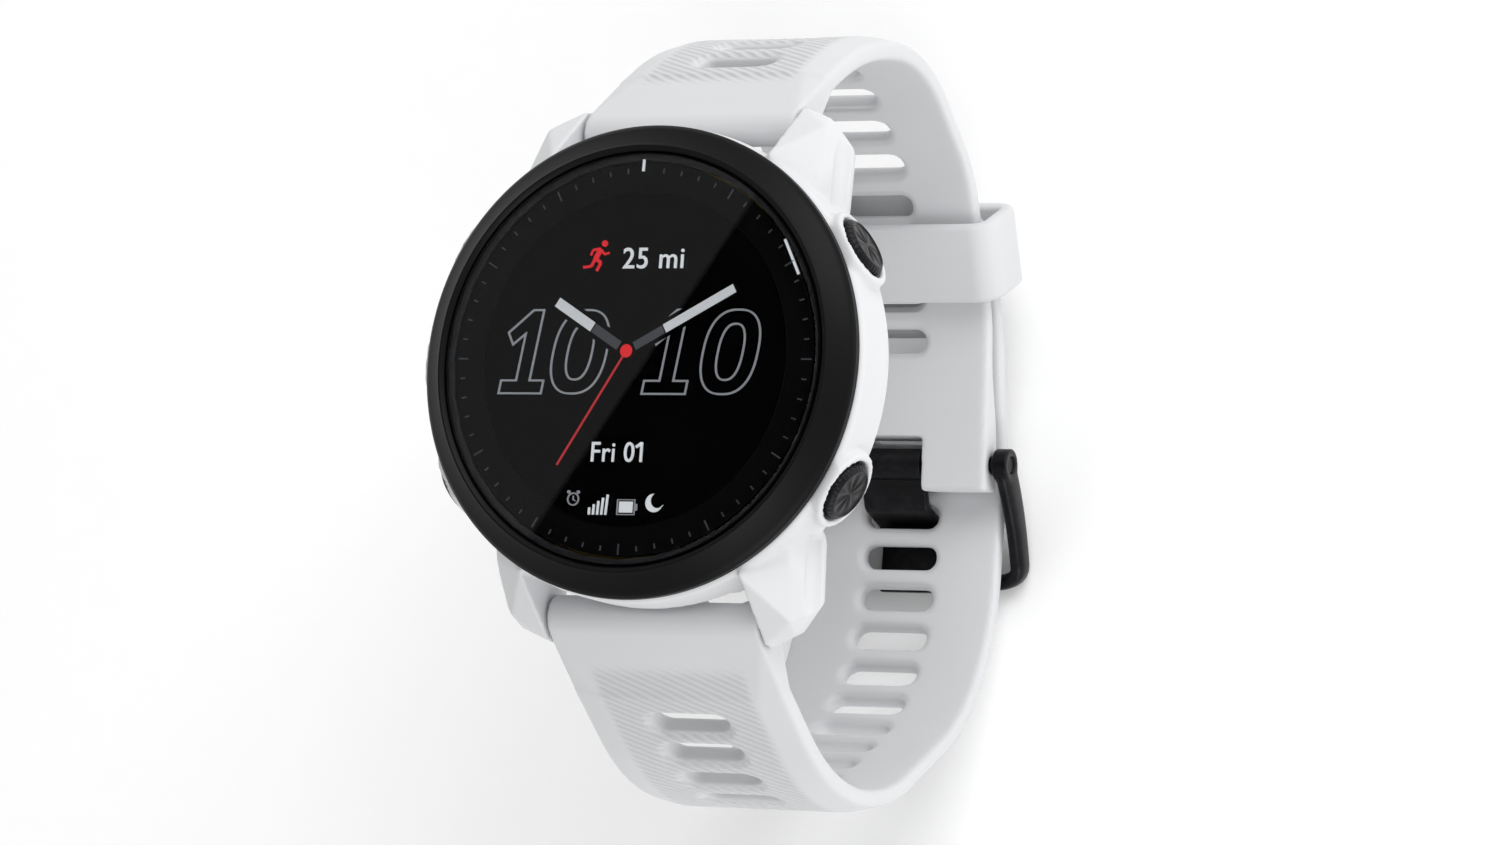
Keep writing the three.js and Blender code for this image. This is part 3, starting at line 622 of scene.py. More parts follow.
def lug(sign_x, sign_y):
    tip, ridge = LUG_REACH, LUG_OUTER_X - 1.4
    corners = [
        (LUG_INNER_X, CASE_RADIUS - 6, CASE_TOP), (LUG_INNER_X, CASE_RADIUS - 2.7, CASE_TOP),
        (LUG_INNER_X, tip, LUG_TIP_Z), (LUG_INNER_X, tip + 0.1, LUG_TIP_Z - 1.2),
        (LUG_INNER_X, tip - 0.5, LUG_TIP_Z - 2.6), (LUG_INNER_X, tip - 2.2, BACK_Z + 0.1),
        (LUG_INNER_X, CASE_RADIUS - 8, BACK_Z + 0.3),
        (ridge, CASE_RADIUS - 6.5, LUG_TIP_Z + 4.8), (ridge, CASE_RADIUS - 4.1, LUG_TIP_Z + 4.1),
        (ridge - 0.7, tip - 2.1, LUG_TIP_Z + 1.7),
        (ridge - 1, tip - 1.1, LUG_TIP_Z - 0.2), (ridge - 1.2, tip - 1.6, BACK_Z + 0.8),
        (LUG_OUTER_X, tip - 3.9, LUG_TIP_Z - 0.4), (LUG_OUTER_X, CASE_RADIUS - 7.6, LUG_TIP_Z),
        (LUG_OUTER_X - 0.6, tip - 4.4, BACK_Z + 1), (LUG_OUTER_X - 0.8, CASE_RADIUS - 7, BACK_Z + 1),
    ]
    return hull("lug", [(sign_x * x, sign_y * y, z) for x, y, z in corners])


def lug_scoop(sign_x, sign_y):
    """The long hollow in a lug's outer flank."""
    near = (sign_x * (LUG_OUTER_X + 1.1), sign_y * (CASE_RADIUS - 7), 5.9)
    far = (sign_x * (LUG_OUTER_X + 0.6), sign_y * (LUG_REACH + 1), 4.7)
    return rod(1.9, near, far, 48)


def button_boss(degrees):
    outer = BUTTON_RADIUS + 1
    return radial(revolve("boss", [
        (0, BORE_RADIUS + 0.8), (outer + 0.3, BORE_RADIUS + 0.8), (outer, CASE_RADIUS + 0.5),
        (outer - 0.2, CASE_RADIUS + 0.65), (0, CASE_RADIUS + 0.65),
    ], 48), degrees)


def button_hole(degrees):
    return radial(revolve("hole", [
        (0, BORE_RADIUS - 1), (0.95, BORE_RADIUS - 1), (0.95, CASE_RADIUS - 1.9),
        (1.6, CASE_RADIUS - 1.9), (1.6, CASE_RADIUS - 1.1),
        (BUTTON_RADIUS + 0.3, CASE_RADIUS - 1.1), (BUTTON_RADIUS + 0.3, CASE_RADIUS + 4),
        (0, CASE_RADIUS + 4),
    ], 48), degrees)


def case_shell():
    """The moulded case: barrel, lugs, button bosses and every opening in them."""
    seat = COVER_RADIUS + 0.3
    made = revolve("shell", [
        (0, BACK_Z), (COVER_RADIUS + 1, BACK_Z), (CASE_RADIUS - 1.3, 3), (CASE_RADIUS, 5.3),
        (CASE_RADIUS, CASE_TOP - 0.5), (CASE_RADIUS - 0.4, CASE_TOP), (0, CASE_TOP),
    ], 192)
    corners = [(1, 1), (1, -1), (-1, 1), (-1, -1)]
    combine(made, [lug(*c) for c in corners], "UNION")
    combine(made, [lug_scoop(*c) for c in corners], "DIFFERENCE")
    combine(made, [button_boss(a) for a in BUTTON_ANGLES.values()], "UNION")
    trim = block((-40, -40, CASE_TOP), (40, 40, CASE_TOP + 10))
    inside = revolve("inside", [
        (0, BACK_Z - 2), (seat, BACK_Z - 2), (seat, SEAT_UNDER), (SEAT_RADIUS, SEAT_UNDER),
        (SEAT_RADIUS, SEAT_TOP), (BORE_RADIUS, SEAT_TOP), (BORE_RADIUS, CASE_TOP + 2),
        (0, CASE_TOP + 2),
    ], 192)
    tools = [trim, inside]
    for sign in (1, -1):
        wall, out = sign * (BORE_RADIUS + 1.1), sign * (LUG_REACH + 5)
        tools.append(block((-LUG_INNER_X, wall, -5), (LUG_INNER_X, out, 6.1)))
        end = LUG_INNER_X + 1.75
        tools.append(rod(0.85, (-end, sign * BAR_Y, BAR_Z), (end, sign * BAR_Y, BAR_Z), 32))
    tools += [button_hole(a) for a in BUTTON_ANGLES.values()]
    combine(made, tools, "DIFFERENCE")
    soften(made, 0.22, 3)
    return finish(made, "case_shell", POLYMER, "case", ["case_frame"])


def bezel_ring():
    """The turned black bezel: inner chamfer, dark cone and a thin outer chamfer."""
    lens_gap, top = LENS_RADIUS + 0.15, LENS_TOP
    profile = [
        (BORE_RADIUS + 0.4, BEZEL_LOW), (BEZEL_RADIUS - 0.15, BEZEL_LOW),
        (BEZEL_RADIUS, BEZEL_LOW + 0.15), (BEZEL_RADIUS, BEZEL_LOW + 0.82),
        (BEZEL_RADIUS - 0.06, BEZEL_LOW + 0.95), (BEZEL_RADIUS - 0.38, BEZEL_LOW + 1.28),
        (BEZEL_RADIUS - 0.5, BEZEL_LOW + 1.36), (LENS_RADIUS + 0.92, top - 0.06),
        (LENS_RADIUS + 0.8, top + 0.06), (LENS_RADIUS + 0.68, top + 0.17),
        (LENS_RADIUS + 0.5, top + 0.19), (lens_gap + 0.12, top + 0.02),
        (lens_gap, top - 0.12), (lens_gap, top - 1.1), (LENS_RADIUS - 0.7, top - 1.1),
        (LENS_RADIUS - 0.7, top - 1.5),
    ]
    made = revolve("bezel", profile, 256, closed=True)
    return finish(made, "bezel_ring", BEZEL_NYLON, "case", ["bezel"], crease=24)


def lens_disc():
    """The flat lens, its edge blackened where it meets the bezel."""
    rim = LENS_RADIUS
    made = revolve("lens", [
        (0, LENS_LOW), (rim - 0.05, LENS_LOW), (rim, LENS_LOW + 0.05), (rim, LENS_TOP - 0.12),
        (rim - 0.12, LENS_TOP), (0, LENS_TOP),
    ], 256)
    finish(made, "lens_disc", GLASS, "case", ["lens"], crease=20)
    made.data.materials.append(DISPLAY)
    for face in made.data.polygons:
        if abs(face.normal.z) < 0.9:
            face.material_index = 1


def dial_faces():
    """The black display and the printed ring around it."""
    panel = revolve("panel", [
        (0, PANEL_LOW), (PANEL_RADIUS, PANEL_LOW), (PANEL_RADIUS, PANEL_TOP - 0.05),
        (PANEL_RADIUS - 0.05, PANEL_TOP), (0, PANEL_TOP),
    ], 192)
    finish(panel, "display_face", DISPLAY, "case", ["display_panel"], crease=20)
    outer = LENS_RADIUS - 0.9
    ring = revolve("ring", [
        (DISC_RADIUS, RING_LOW), (outer, RING_LOW), (outer, RING_TOP),
        (DISC_RADIUS + 0.1, RING_TOP), (DISC_RADIUS, RING_TOP - 0.1),
    ], 256, closed=True)
    finish(ring, "dial_print_ring", DIAL_PRINT, "case", ["dial_ring"], crease=20)


# ---- dial markings ----
# They stand just under the lens, which is where its film carries them.

INK_LOW = RING_TOP + 0.04
INK_TOP = LENS_LOW - 0.03
HANDS_X, HANDS_Y = -0.65, 0.73


def slab(outline, low=INK_LOW, high=INK_TOP):
    """Vertices and faces of a flat outline given a little depth."""
    count = len(outline)
    vertices = [(x, y, low) for x, y in outline] + [(x, y, high) for x, y in outline]
    faces = [list(range(count))[::-1], list(range(count, 2 * count))]
    faces += [[i, (i + 1) % count, count + (i + 1) % count, count + i] for i in range(count)]
    return vertices, faces


def marks(name, outlines, material, low=INK_LOW, high=INK_TOP):
    """One piece of several flat outlines, none of which touch."""
    vertices, faces = [], []
    for outline in outlines:
        new_vertices, new_faces = slab(outline, low, high)
        start = len(vertices)
        vertices += new_vertices
        faces += [[start + i for i in face] for face in new_faces]
    made = mesh_object(name, vertices, faces)
    return finish(made, name, material, "case", smooth=False)


def bar(start, end, width):
    """The outline of a straight bar between two points."""
    start, end = Vector(start), Vector(end)
    heading = (end - start).normalized()
    side = Vector((-heading.y, heading.x)) * width / 2
    return [start - side, end - side, end + side, start + side]


def round_spot(x, y, radius, count=40):
    turns = [2 * math.pi * i / count for i in range(count)]
    return [(x + radius * math.cos(a), y + radius * math.sin(a)) for a in turns]


def polar(radius, degrees):
    return (radius * math.cos(math.radians(degrees)), radius * math.sin(math.radians(degrees)))


def stroke(name, points, width, material, closed=True):
    """A thin line of even width through the points, mitred at its corners."""
    count = len(points)
    left, right = [], []
    for i, p in enumerate(points):
        here = Vector(p)
        before = Vector(points[i - 1]) if closed or i else here
        after = Vector(points[(i + 1) % count]) if closed or i < count - 1 else here
        first, second = (here - before), (after - here)
        first = first.normalized() if first.length else second.normalized()
        second = second.normalized() if second.length else first
        normal = Vector((-(first + second).y, (first + second).x)).normalized()
        reach = width / 2 / max(0.4, normal.dot(Vector((-first.y, first.x))))
        left.append(here + normal * reach)
        right.append(here - normal * reach)
    vertices = [(p.x, p.y, z) for z in (INK_LOW, INK_TOP) for p in left + right]
    faces = []
    level = 2 * count
    for i in range(count if closed else count - 1):
        j = (i + 1) % count
        a, b, c, d = i, j, count + j, count + i
        faces += [[a, b, c, d], [a + level, d + level, c + level, b + level],
                  [a, a + level, b + level, b], [d, c, c + level, d + level]]
    if not closed:
        for i in (0, count - 1):
            faces.append([i, count + i, count + i + level, i + level])
    made = mesh_object(name, vertices, faces)
    return finish(made, name, material, "case", smooth=False)


DIGIT_HEIGHT = 7.75
DIGIT_BASE = -3.22
DIGIT_SLANT = 0.15
DIGIT_LINE = 0.17


def slanted(x, points):
    """Leans points over about the digits' base line and sets them at x."""
    return [(x + px + DIGIT_SLANT * py, DIGIT_BASE + py) for px, py in points]


def digit_one(name, x):
    """An outlined slab-foot 1."""
    h, foot = DIGIT_HEIGHT, 1.2
    shape = [
        (0, 0), (4.4, 0), (4.4, foot), (2.95, foot), (2.95, h), (1.9, h),
        (-0.25, h - 2.1), (0.45, h - 3.2), (1.55, h - 2.2), (1.55, foot), (0, foot),
    ]
    stroke(name, slanted(x, shape), DIGIT_LINE, SEGMENT_OUTLINE)


def digit_nought(name, x):
    """An outlined 0: two upright superellipses, one in the other."""
    h = DIGIT_HEIGHT
    for label, half_width, half_height in (("outer", 2.75, h / 2), ("inner", 1.25, h / 2 - 1.3)):
        points = []
        for i in range(56):
            a = 2 * math.pi * i / 56
            c, s = math.cos(a), math.sin(a)
            points.append((2.75 + half_width * math.copysign(abs(c) ** 0.8, c),
                           h / 2 + half_height * math.copysign(abs(s) ** 0.8, s)))
        stroke(f"{name}_{label}", slanted(x, points), DIGIT_LINE, SEGMENT_OUTLINE)


def words(name, text, x, y, width, height, material):
    """Plain lettering for the units and the date, set to fill a width and a height."""
    curve = bpy.data.curves.new(name, "FONT")
    curve.body = text
    curve.size = 1
    curve.offset = 0.004
    curve.space_character = 1.06
    curve.extrude = 0.5
    curve.resolution_u = 4
    holder = bpy.data.objects.new(name, curve)
    bpy.context.scene.collection.objects.link(holder)
    bpy.context.view_layer.update()
    graph = bpy.context.evaluated_depsgraph_get()
    data = bpy.data.meshes.new_from_object(holder.evaluated_get(graph))
    bpy.data.objects.remove(holder)
    wide = [v.co.x for v in data.vertices]
    tall = [v.co.y for v in data.vertices]
    across, up = width / (max(wide) - min(wide)), height / (max(tall) - min(tall))
    data.transform(Matrix.Translation((x, y, (INK_LOW + INK_TOP) / 2))
                   @ Matrix.Diagonal((across, up, INK_TOP - INK_LOW, 1))
                   @ Matrix.Translation((-min(wide), -min(tall), 0)))
    made = bpy.data.objects.new(name, data)
    bpy.context.scene.collection.objects.link(made)
    return finish(made, name, material, "case", smooth=False)


def minute_ticks():
    """Fifty-nine faint ticks, longer at the hours, a bright one at 12 o'clock, and a bright
    line beside the start button."""
    ticks = []
    for minute in range(60):
        if minute == 15:
            continue
        degrees = 6 * minute
        length = 1.0 if minute % 5 == 0 else 0.45
        middle = 17.5
        ticks.append(bar(polar(middle - length / 2, degrees), polar(middle + length / 2, degrees),
                         0.12))
    marks("minute_ticks", ticks, SEGMENT_FAINT)
    marks("noon_tick", [bar((-0.3, 17.4), (-0.27, 18.5), 0.24)], SEGMENT_WHITE)
    marks("start_hint", [bar((14.55, 10.95), (16.15, 7.75), 0.24)], SEGMENT_WHITE)


def clock_hands():
    """The drawn hour, minute and second hands."""
    hub = Vector((HANDS_X, HANDS_Y))
    hour = Vector((-7.44, 4.55))
    minute = Vector((10.53, 5.77))
    for name, reach, split, width in (("hour", hour, 0.47, 0.95), ("minute", minute, 0.345, 0.85)):
        tip, neck = hub + reach, hub + reach * split
        marks(f"{name}_halo", [bar(hub, tip + reach.normalized() * 0.4, width + 0.8)],
              DISPLAY, INK_TOP, INK_TOP + 0.003)
        marks(f"{name}_bar", [bar(neck + reach.normalized() * 0.12, tip, width)],
              SEGMENT_HAND, INK_TOP + 0.005, INK_TOP + 0.012)
        marks(f"{name}_stem", [bar(hub + reach.normalized() * 0.9, neck, width * 0.95)],
              SEGMENT_STEM, INK_TOP + 0.005, INK_TOP + 0.012)
    second = Vector((-6.25, -10.56))
    marks("second_hand", [bar(hub, hub + second, 0.22)], SEGMENT_DARK_RED,
          INK_TOP + 0.005, INK_TOP + 0.012)
    marks("hub_spot", [round_spot(HANDS_X, HANDS_Y, 0.62)], SEGMENT_RED,
          INK_TOP + 0.014, INK_TOP + 0.02)


def runner_sign(x, y):
    """A running figure: head, leaning trunk, bent arms and striding legs."""
    limbs = [
        ((0.25, 0.75), (-0.25, -0.25), 0.5), ((0.2, 0.72), (-0.55, 0.62), 0.22),
        ((-0.55, 0.62), (-0.75, 0.1), 0.2), ((0.3, 0.6), (0.65, 0.2), 0.22),
        ((0.65, 0.2), (1.15, 0.35), 0.2), ((-0.2, -0.2), (0.35, -0.6), 0.34),
        ((0.35, -0.6), (-0.05, -1.35), 0.28), ((-0.3, -0.25), (-0.6, -0.9), 0.3),
        ((-0.6, -0.9), (-1.45, -1.0), 0.24),
    ]
    outlines = [bar((x + a[0], y + a[1]), (x + b[0], y + b[1]), w) for a, b, w in limbs]
    for i, outline in enumerate(outlines):
        lift = INK_LOW + 0.002 * i
        marks(f"runner_limb_{i + 1}", [outline], SEGMENT_RED, lift, lift + 0.09)
    marks("runner_head", [round_spot(x + 0.62, y + 1.2, 0.3)], SEGMENT_RED)


def status_signs():
    """Alarm, signal bars, battery and moon along the foot of the display."""
    stroke("alarm_ring", round_spot(-4.97, -12.95, 0.55, 24), 0.12, SEGMENT_OUTLINE)
    marks("alarm_bells", [round_spot(-5.45, -12.3, 0.16, 12), round_spot(-4.49, -12.3, 0.16, 12)],
          SEGMENT_OUTLINE)
    stroke("alarm_hands", [(-4.97, -12.65), (-4.97, -13.0), (-4.75, -13.1)], 0.1,
           SEGMENT_OUTLINE, closed=False)
    bars = [bar((-3.25 + 0.42 * i, -14.35), (-3.25 + 0.42 * i + 0.03 * i, -13.7 + 0.3 * i), 0.2)
            for i in range(5)]
    marks("signal_bars", bars, SEGMENT_WHITE)
    marks("battery_fill", [bar((-0.2, -13.62), (1.15, -13.62), 1.0)], SEGMENT_WHITE)
    stroke("battery_rim", [(-0.4, -14.3), (1.35, -14.3), (1.35, -12.95), (-0.4, -12.95)], 0.08,
           SEGMENT_OUTLINE)
    marks("battery_cap", [bar((1.45, -13.62), (1.62, -13.62), 0.6)], SEGMENT_OUTLINE)
    outer = [polar(0.85, d) for d in range(110, 341, 10)]
    inner = [polar(0.72, d) for d in range(325, 124, -10)]
    moon = [(3.3 + x, -13.2 + y) for x, y in outer]
    moon += [(3.3 + 0.36 + x, -13.2 + 0.24 + y) for x, y in inner]
    marks("moon_sign", [moon], SEGMENT_WHITE)


# ---- strap ----

class Route:
    """A line through (y, z, radius) corners, each rounded to its radius."""

    def __init__(self, corners, outward):
        self.outward = outward
        self.runs = []
        start = Vector(corners[0][:2])
        for here, after in zip(corners[1:], corners[2:]):
            corner, following, radius = Vector(here[:2]), Vector(after[:2]), here[2]
            first = (corner - start).normalized()
            second = (following - corner).normalized()
            bend = math.atan2(first.x * second.y - first.y * second.x, first.dot(second))
            cut_back = radius * math.tan(abs(bend) / 2)
            bend_start = corner - first * cut_back
            side = Vector((-first.y, first.x)) * math.copysign(1, bend)
            self.runs.append(("line", start, first, (bend_start - start).length))
            self.runs.append(("arc", bend_start, first, radius * abs(bend), side, radius, bend))
            start = corner + second * cut_back
        end = Vector(corners[-1][:2])
        self.runs.append(("line", start, (end - start).normalized(), (end - start).length))
        self.length = sum(run[3] for run in self.runs)

    def at(self, distance):
        """The point at a distance along the line, its heading and its outward side."""
        left = distance
        for run in self.runs:
            if left <= run[3] or run is self.runs[-1]:
                break
            left -= run[3]
        if run[0] == "line":
            point, heading = run[1] + run[2] * left, run[2]
        else:
            _, start, first, _, side, radius, bend = run
            a = math.copysign(left / radius, bend)
            centre = start + side * radius
            arm = start - centre
            point = centre + Vector((arm.x * math.cos(a) - arm.y * math.sin(a),
                                     arm.x * math.sin(a) + arm.y * math.cos(a)))
            heading = Vector((first.x * math.cos(a) - first.y * math.sin(a),
                              first.x * math.sin(a) + first.y * math.cos(a)))
        outward = Vector((heading.y, -heading.x)) * self.outward
        return point, heading, outward

    def distance_at_y(self, y, low, high):
        rising = self.at(high)[0].x > self.at(low)[0].x
        for _ in range(40):
            middle = (low + high) / 2
            if (self.at(middle)[0].x < y) == rising:
                low = middle
            else:
                high = middle
        return (low + high) / 2


def run_height(y):
    rise = LAYER_STEP / math.cos(RAMP_SLOPE)
    return -LOOP_DEPTH + RAMP_RISE + (y - RAMP_Y) * math.tan(RAMP_SLOPE) + rise


INNER_BACK = -LOOP_DEPTH + BACK_THICKNESS + 4.2
LONG_ROUTE = Route([
    (-BAR_Y - 0.7, BAR_Z + 0.3), (-LOOP_REACH, -0.396 * LOOP_DEPTH, 22),
    (-0.6 * LOOP_REACH, -LOOP_DEPTH, 20), (PIN_Y + 0.2, -LOOP_DEPTH, 25),
    (RAMP_Y, -LOOP_DEPTH + RAMP_RISE, 20),
    (RAMP_Y + TIP_RUN, -LOOP_DEPTH + RAMP_RISE + TIP_RUN * math.tan(RAMP_SLOPE)),
], 1)
SHORT_ROUTE = Route([
    (BAR_Y + 0.7, BAR_Z + 0.3), (0.822 * LOOP_REACH, -0.2 * LOOP_DEPTH, 28),
    (0.884 * LOOP_REACH, -0.472 * LOOP_DEPTH, 15),
    (RAMP_Y + TIP_RUN, run_height(RAMP_Y + TIP_RUN), 12),
    (RAMP_Y + 0.2, run_height(RAMP_Y + 0.2), 15), (PIN_Y - 2.9, INNER_BACK - 1.9),
], -1)


def smooth_step(low, high, x):
    t = min(1, max(0, (x - low) / (high - low)))
    return t * t * (3 - 2 * t)


def thickness(route, distance):
    thick = ROOT_THICKNESS + (BACK_THICKNESS - ROOT_THICKNESS) * smooth_step(10, 45, distance)
    if route is SHORT_ROUTE:
        end = route.length
        thick += (HUB_THICKNESS - BACK_THICKNESS) * smooth_step(end - 14, end - 4.5, distance)
    return thick


def in_frame(route, distance):
    """The strap's own directions at a distance: along, outward, and the point between them."""
    point, heading, outward = route.at(distance)
    return (Vector((0, point.x, point.y)), Vector((0, heading.x, heading.y)),
            Vector((0, outward.x, outward.y)))


def strap_band(route):
    """The strap's section carried along its route, from where its root has blended in."""
    half, margin = STRAP_HALF, STRAP_MARGIN
    count = int((route.length - ROOT_LENGTH) / 0.7)
    rings = []
    for i in range(count + 1):
        distance = ROOT_LENGTH + (route.length - ROOT_LENGTH) * i / count
        origin, _, out = in_frame(route, distance)
        thick = thickness(route, distance)
        edge = thick * 0.75
        section = [
            (0.5 - half, 0), (half - 0.5, 0), (half - 0.12, 0.12), (half, 0.5), (half, edge - 0.25),
            (half - 0.15, edge), (half - margin, thick), (0, thick), (margin - half, thick),
            (0.15 - half, edge), (-half, edge - 0.25), (-half, 0.5), (0.12 - half, 0.12),
        ]
        rings.append([origin + out * n + Vector((x, 0, 0)) for x, n in section])
    return skin("band", rings)


def capsule(route, distance, length, width, low, high):
    """A capsule-shaped cutter standing on the strap, between two heights."""
    origin, along, out = in_frame(route, distance)
    radius = width / 2
    reach = length / 2 - radius
    outline = [(reach + x, y) for x, y in (polar(radius, d) for d in range(-90, 91, 12))]
    outline += [(x - reach, y) for x, y in (polar(radius, d) for d in range(90, 271, 12))]
    made = mesh_object("capsule", *slab(outline, low, high))
    return turn(made, along.cross(out), along, out, origin)


def root_wedge(route, sign):
    """The strap's end where its skin leaves the roll around the bar in one smooth sweep."""
    points = []
    for x in (-STRAP_HALF, STRAP_HALF):
        for degrees in range(0, 360, 10):
            y, z = polar(ROLL_RADIUS, degrees)
            points.append((x, sign * BAR_Y + y, BAR_Z + z))
    origin, _, out = in_frame(route, ROOT_LENGTH + 1)
    thick = thickness(route, ROOT_LENGTH + 1)
    for x, n in ((STRAP_HALF - 0.3, 0), (STRAP_HALF, 0.5), (STRAP_HALF, thick * 0.75 - 0.1),
                 (STRAP_HALF - 2.6, thick)):
        points += [tuple(origin + out * n + Vector((side * x, 0, 0))) for side in (1, -1)]
    return hull("wedge", points)


def slot_tools(route, distances):
    """Each slot's through hole, its sunk outer rim and the rounded wrist-side mouth."""
    tools = []
    for s in distances:
        thick = thickness(route, s)
        tools.append(capsule(route, s, SLOT_LENGTH, SLOT_WIDTH, -3, thick + 3))
        tools.append(capsule(route, s, SLOT_LENGTH + 1.1, SLOT_WIDTH + 1.1, thick - 0.38, thick + 2))
        tools.append(capsule(route, s, SLOT_LENGTH + 0.9, SLOT_WIDTH + 0.9, -2, 0.32))
    return tools


def roll_tools(sign):
    """The bar's bore and the finger notch beside its release lever."""
    low_y, high_y = -BAR_Y - NOTCH_REACH, -BAR_Y + ROLL_RADIUS + 1
    if sign > 0:
        low_y, high_y = BAR_Y - ROLL_RADIUS - 1, BAR_Y + NOTCH_REACH
    bore = rod(BAR_BORE, (-20, sign * BAR_Y, BAR_Z), (20, sign * BAR_Y, BAR_Z), 32)
    notch = block((LEVER_LOW - 2, low_y, BAR_Z - 7),
                  (LEVER_LOW + 2.6, high_y, BAR_Z + NOTCH_REACH))
    return [bore, notch]


def mark_strap(made, route, first_groove, last_groove):
    """Stores on each vertex how far along and across the strap it is, and whether the
    grooved field covers it, for the silicone's material."""
    steps = int(route.length / 0.5)
    samples = [(route.length * i / steps, *in_frame(route, route.length * i / steps))
               for i in range(steps + 1)]
    tree = KDTree(len(samples))
    for i, (_, origin, _, _) in enumerate(samples):
        tree.insert(origin, i)
    tree.balance()
    data = made.data
    fields = {key: data.attributes.new(key, "FLOAT", "POINT")
              for key in ("along_mm", "across_mm", "grooved")}
    for vertex in data.vertices:
        flat = Vector((0, vertex.co.y, vertex.co.z))
        nearest = tree.find(flat)[1]
        distance, origin, along, out = samples[nearest]
        before, after = samples[max(0, nearest - 4)], samples[min(steps, nearest + 4)]
        curl = (after[2] - before[2]).dot(out) / (after[0] - before[0])
        height = (flat - origin).dot(out)
        s = distance + (flat - origin).dot(along) / (1 - height * curl)
        inside = 1 - smooth_step(STRAP_HALF - 3.6, STRAP_HALF - 2.6, abs(vertex.co.x))
        field = smooth_step(first_groove, first_groove + 2, s)
        field *= 1 - smooth_step(last_groove - 2, last_groove, s)
        skin = smooth_step(0.7, 0.9, vertex.normal.dot(out)) if height > 1 else 0
        fields["along_mm"].data[vertex.index].value = s
        fields["across_mm"].data[vertex.index].value = vertex.co.x
        fields["grooved"].data[vertex.index].value = inside * field * skin


def strap_long():
    route = LONG_ROUTE
    made = strap_band(route)
    combine(made, [root_wedge(route, -1)], "UNION")
    slot_y = PIN_Y - 4.9
    tongue = route.distance_at_y(slot_y, 40, route.length - 20)
    first = tongue - math.floor((tongue - SLOT_START) / LONG_PITCH) * LONG_PITCH
    distances = []
    s = first
    while s < route.length - 5:
        distances.append(s)
        s += LONG_PITCH
    tools = slot_tools(route, distances) + roll_tools(-1) + tip_tools(route)
    combine(made, tools, "DIFFERENCE")
    soften(made)
    mark_strap(made, route, 3.0, route.length - 4)
    return finish(made, "strap_long_band", SILICONE_LONG, "case", ["strap_long"])


def tip_tools(route):
    """What the long half's end loses so that it is rounded."""
    origin, along, out = in_frame(route, route.length)
    radius = 1.24 * STRAP_HALF
    reach = 9
    outline = [(x, y - radius) for x, y in (polar(radius, d) for d in range(20, 161, 5))]
    outline = [p for p in outline if p[1] > -reach]
    outline = [(20, -reach)] + [(outline[0][0] + 0.4, -reach)] + outline
    outline += [(outline[-1][0] - 0.4, -reach), (-20, -reach), (-20, 6), (20, 6)]
    made = mesh_object("tip", *slab(outline, -6, 8))
    return [turn(made, Vector((-1, 0, 0)), along, out, origin)]


def strap_short():
    route = SHORT_ROUTE
    made = strap_band(route)
    combine(made, [root_wedge(route, 1)], "UNION")
    distances = []
    s = route.length - 15
    while s > SLOT_START:
        distances.append(s)
        s -= SHORT_PITCH
    half = TONGUE_HALF + 0.3
    tools = slot_tools(route, distances) + roll_tools(1)
    tools.append(block((-half, PIN_Y - 8, PIN_Z - 6), (half, PIN_Y + 2.6, PIN_Z + 6)))
    tools.append(rod(STRAP_PIN_HOLE, (-20, PIN_Y, PIN_Z), (20, PIN_Y, PIN_Z), 32))
    combine(made, tools, "DIFFERENCE")
    soften(made)
    mark_strap(made, route, 5.0, route.length - 16)
    return finish(made, "strap_short_band", SILICONE_SHORT, "case",
                  ["strap_short"])


def sweep(name, frames, section):
    """A closed section carried around a closed list of (origin, side, up) frames."""
    rings = [[origin + side * a + up * b for a, b in section] for origin, side, up in frames]
    return skin(name, rings, closed=True)


def rounded_section(width, height, radius, steps=5):
    """A rounded rectangle's outline, corner by corner."""
    points = []
    centres = [(1, 1, 0), (-1, 1, 90), (-1, -1, 180), (1, -1, 270)]
    for sign_x, sign_y, first in centres:
        for i in range(steps + 1):
            x, y = polar(radius, first + 90 * i / steps)
            points.append((sign_x * (width / 2 - radius) + x, sign_y * (height / 2 - radius) + y))
    return points


def keeper_loop():
    """The loose silicone loop: a wide rounded band swept around both strap layers."""
    route = SHORT_ROUTE
    start = route.distance_at_y(KEEPER_Y, 50, route.length - 5)
    origin, along, out = in_frame(route, start)
    inner_height = BACK_THICKNESS + LAYER_STEP + 0.6 + 0.8
    inner_width = 2 * STRAP_HALF + 0.9
    middle = origin + out * (inner_height / 2 - 0.3)
    path = rounded_section(inner_width + KEEPER_WALL, inner_height + KEEPER_WALL, 1.7, 8)
    across = Vector((1, 0, 0))
    frames = []
    for i, (x, y) in enumerate(path):
        before, after = Vector(path[i - 1]), Vector(path[(i + 1) % len(path)])
        heading = (after - before).normalized()
        outward = across * heading.y - out * heading.x
        frames.append((middle + across * x + out * y, outward, along))
    section = rounded_section(KEEPER_WALL, KEEPER_LENGTH, 0.55, 5)
    made = sweep("keeper", frames, section)
    return finish(made, "keeper_loop", SILICONE_PLAIN, "keeper_loop",
                  ["keeper"])


# ---- buckle ----

def tube_between(stations):
    """A closed skin through oval stations of (centre, normal, binormal, half a, half b)."""
    rings, size = [], 20
    for centre, normal, binormal, a, b in stations:
        ring = []
        for j in range(size):
            t = 2 * math.pi * j / size
            c, s = math.cos(t), math.sin(t)
            x = math.copysign(abs(c) ** 0.72, c) * a
            y = math.copysign(abs(s) ** 0.72, s) * b
            ring.append(centre + normal * x + binormal * y)
        rings.append(ring)
    return skin("tube", rings)


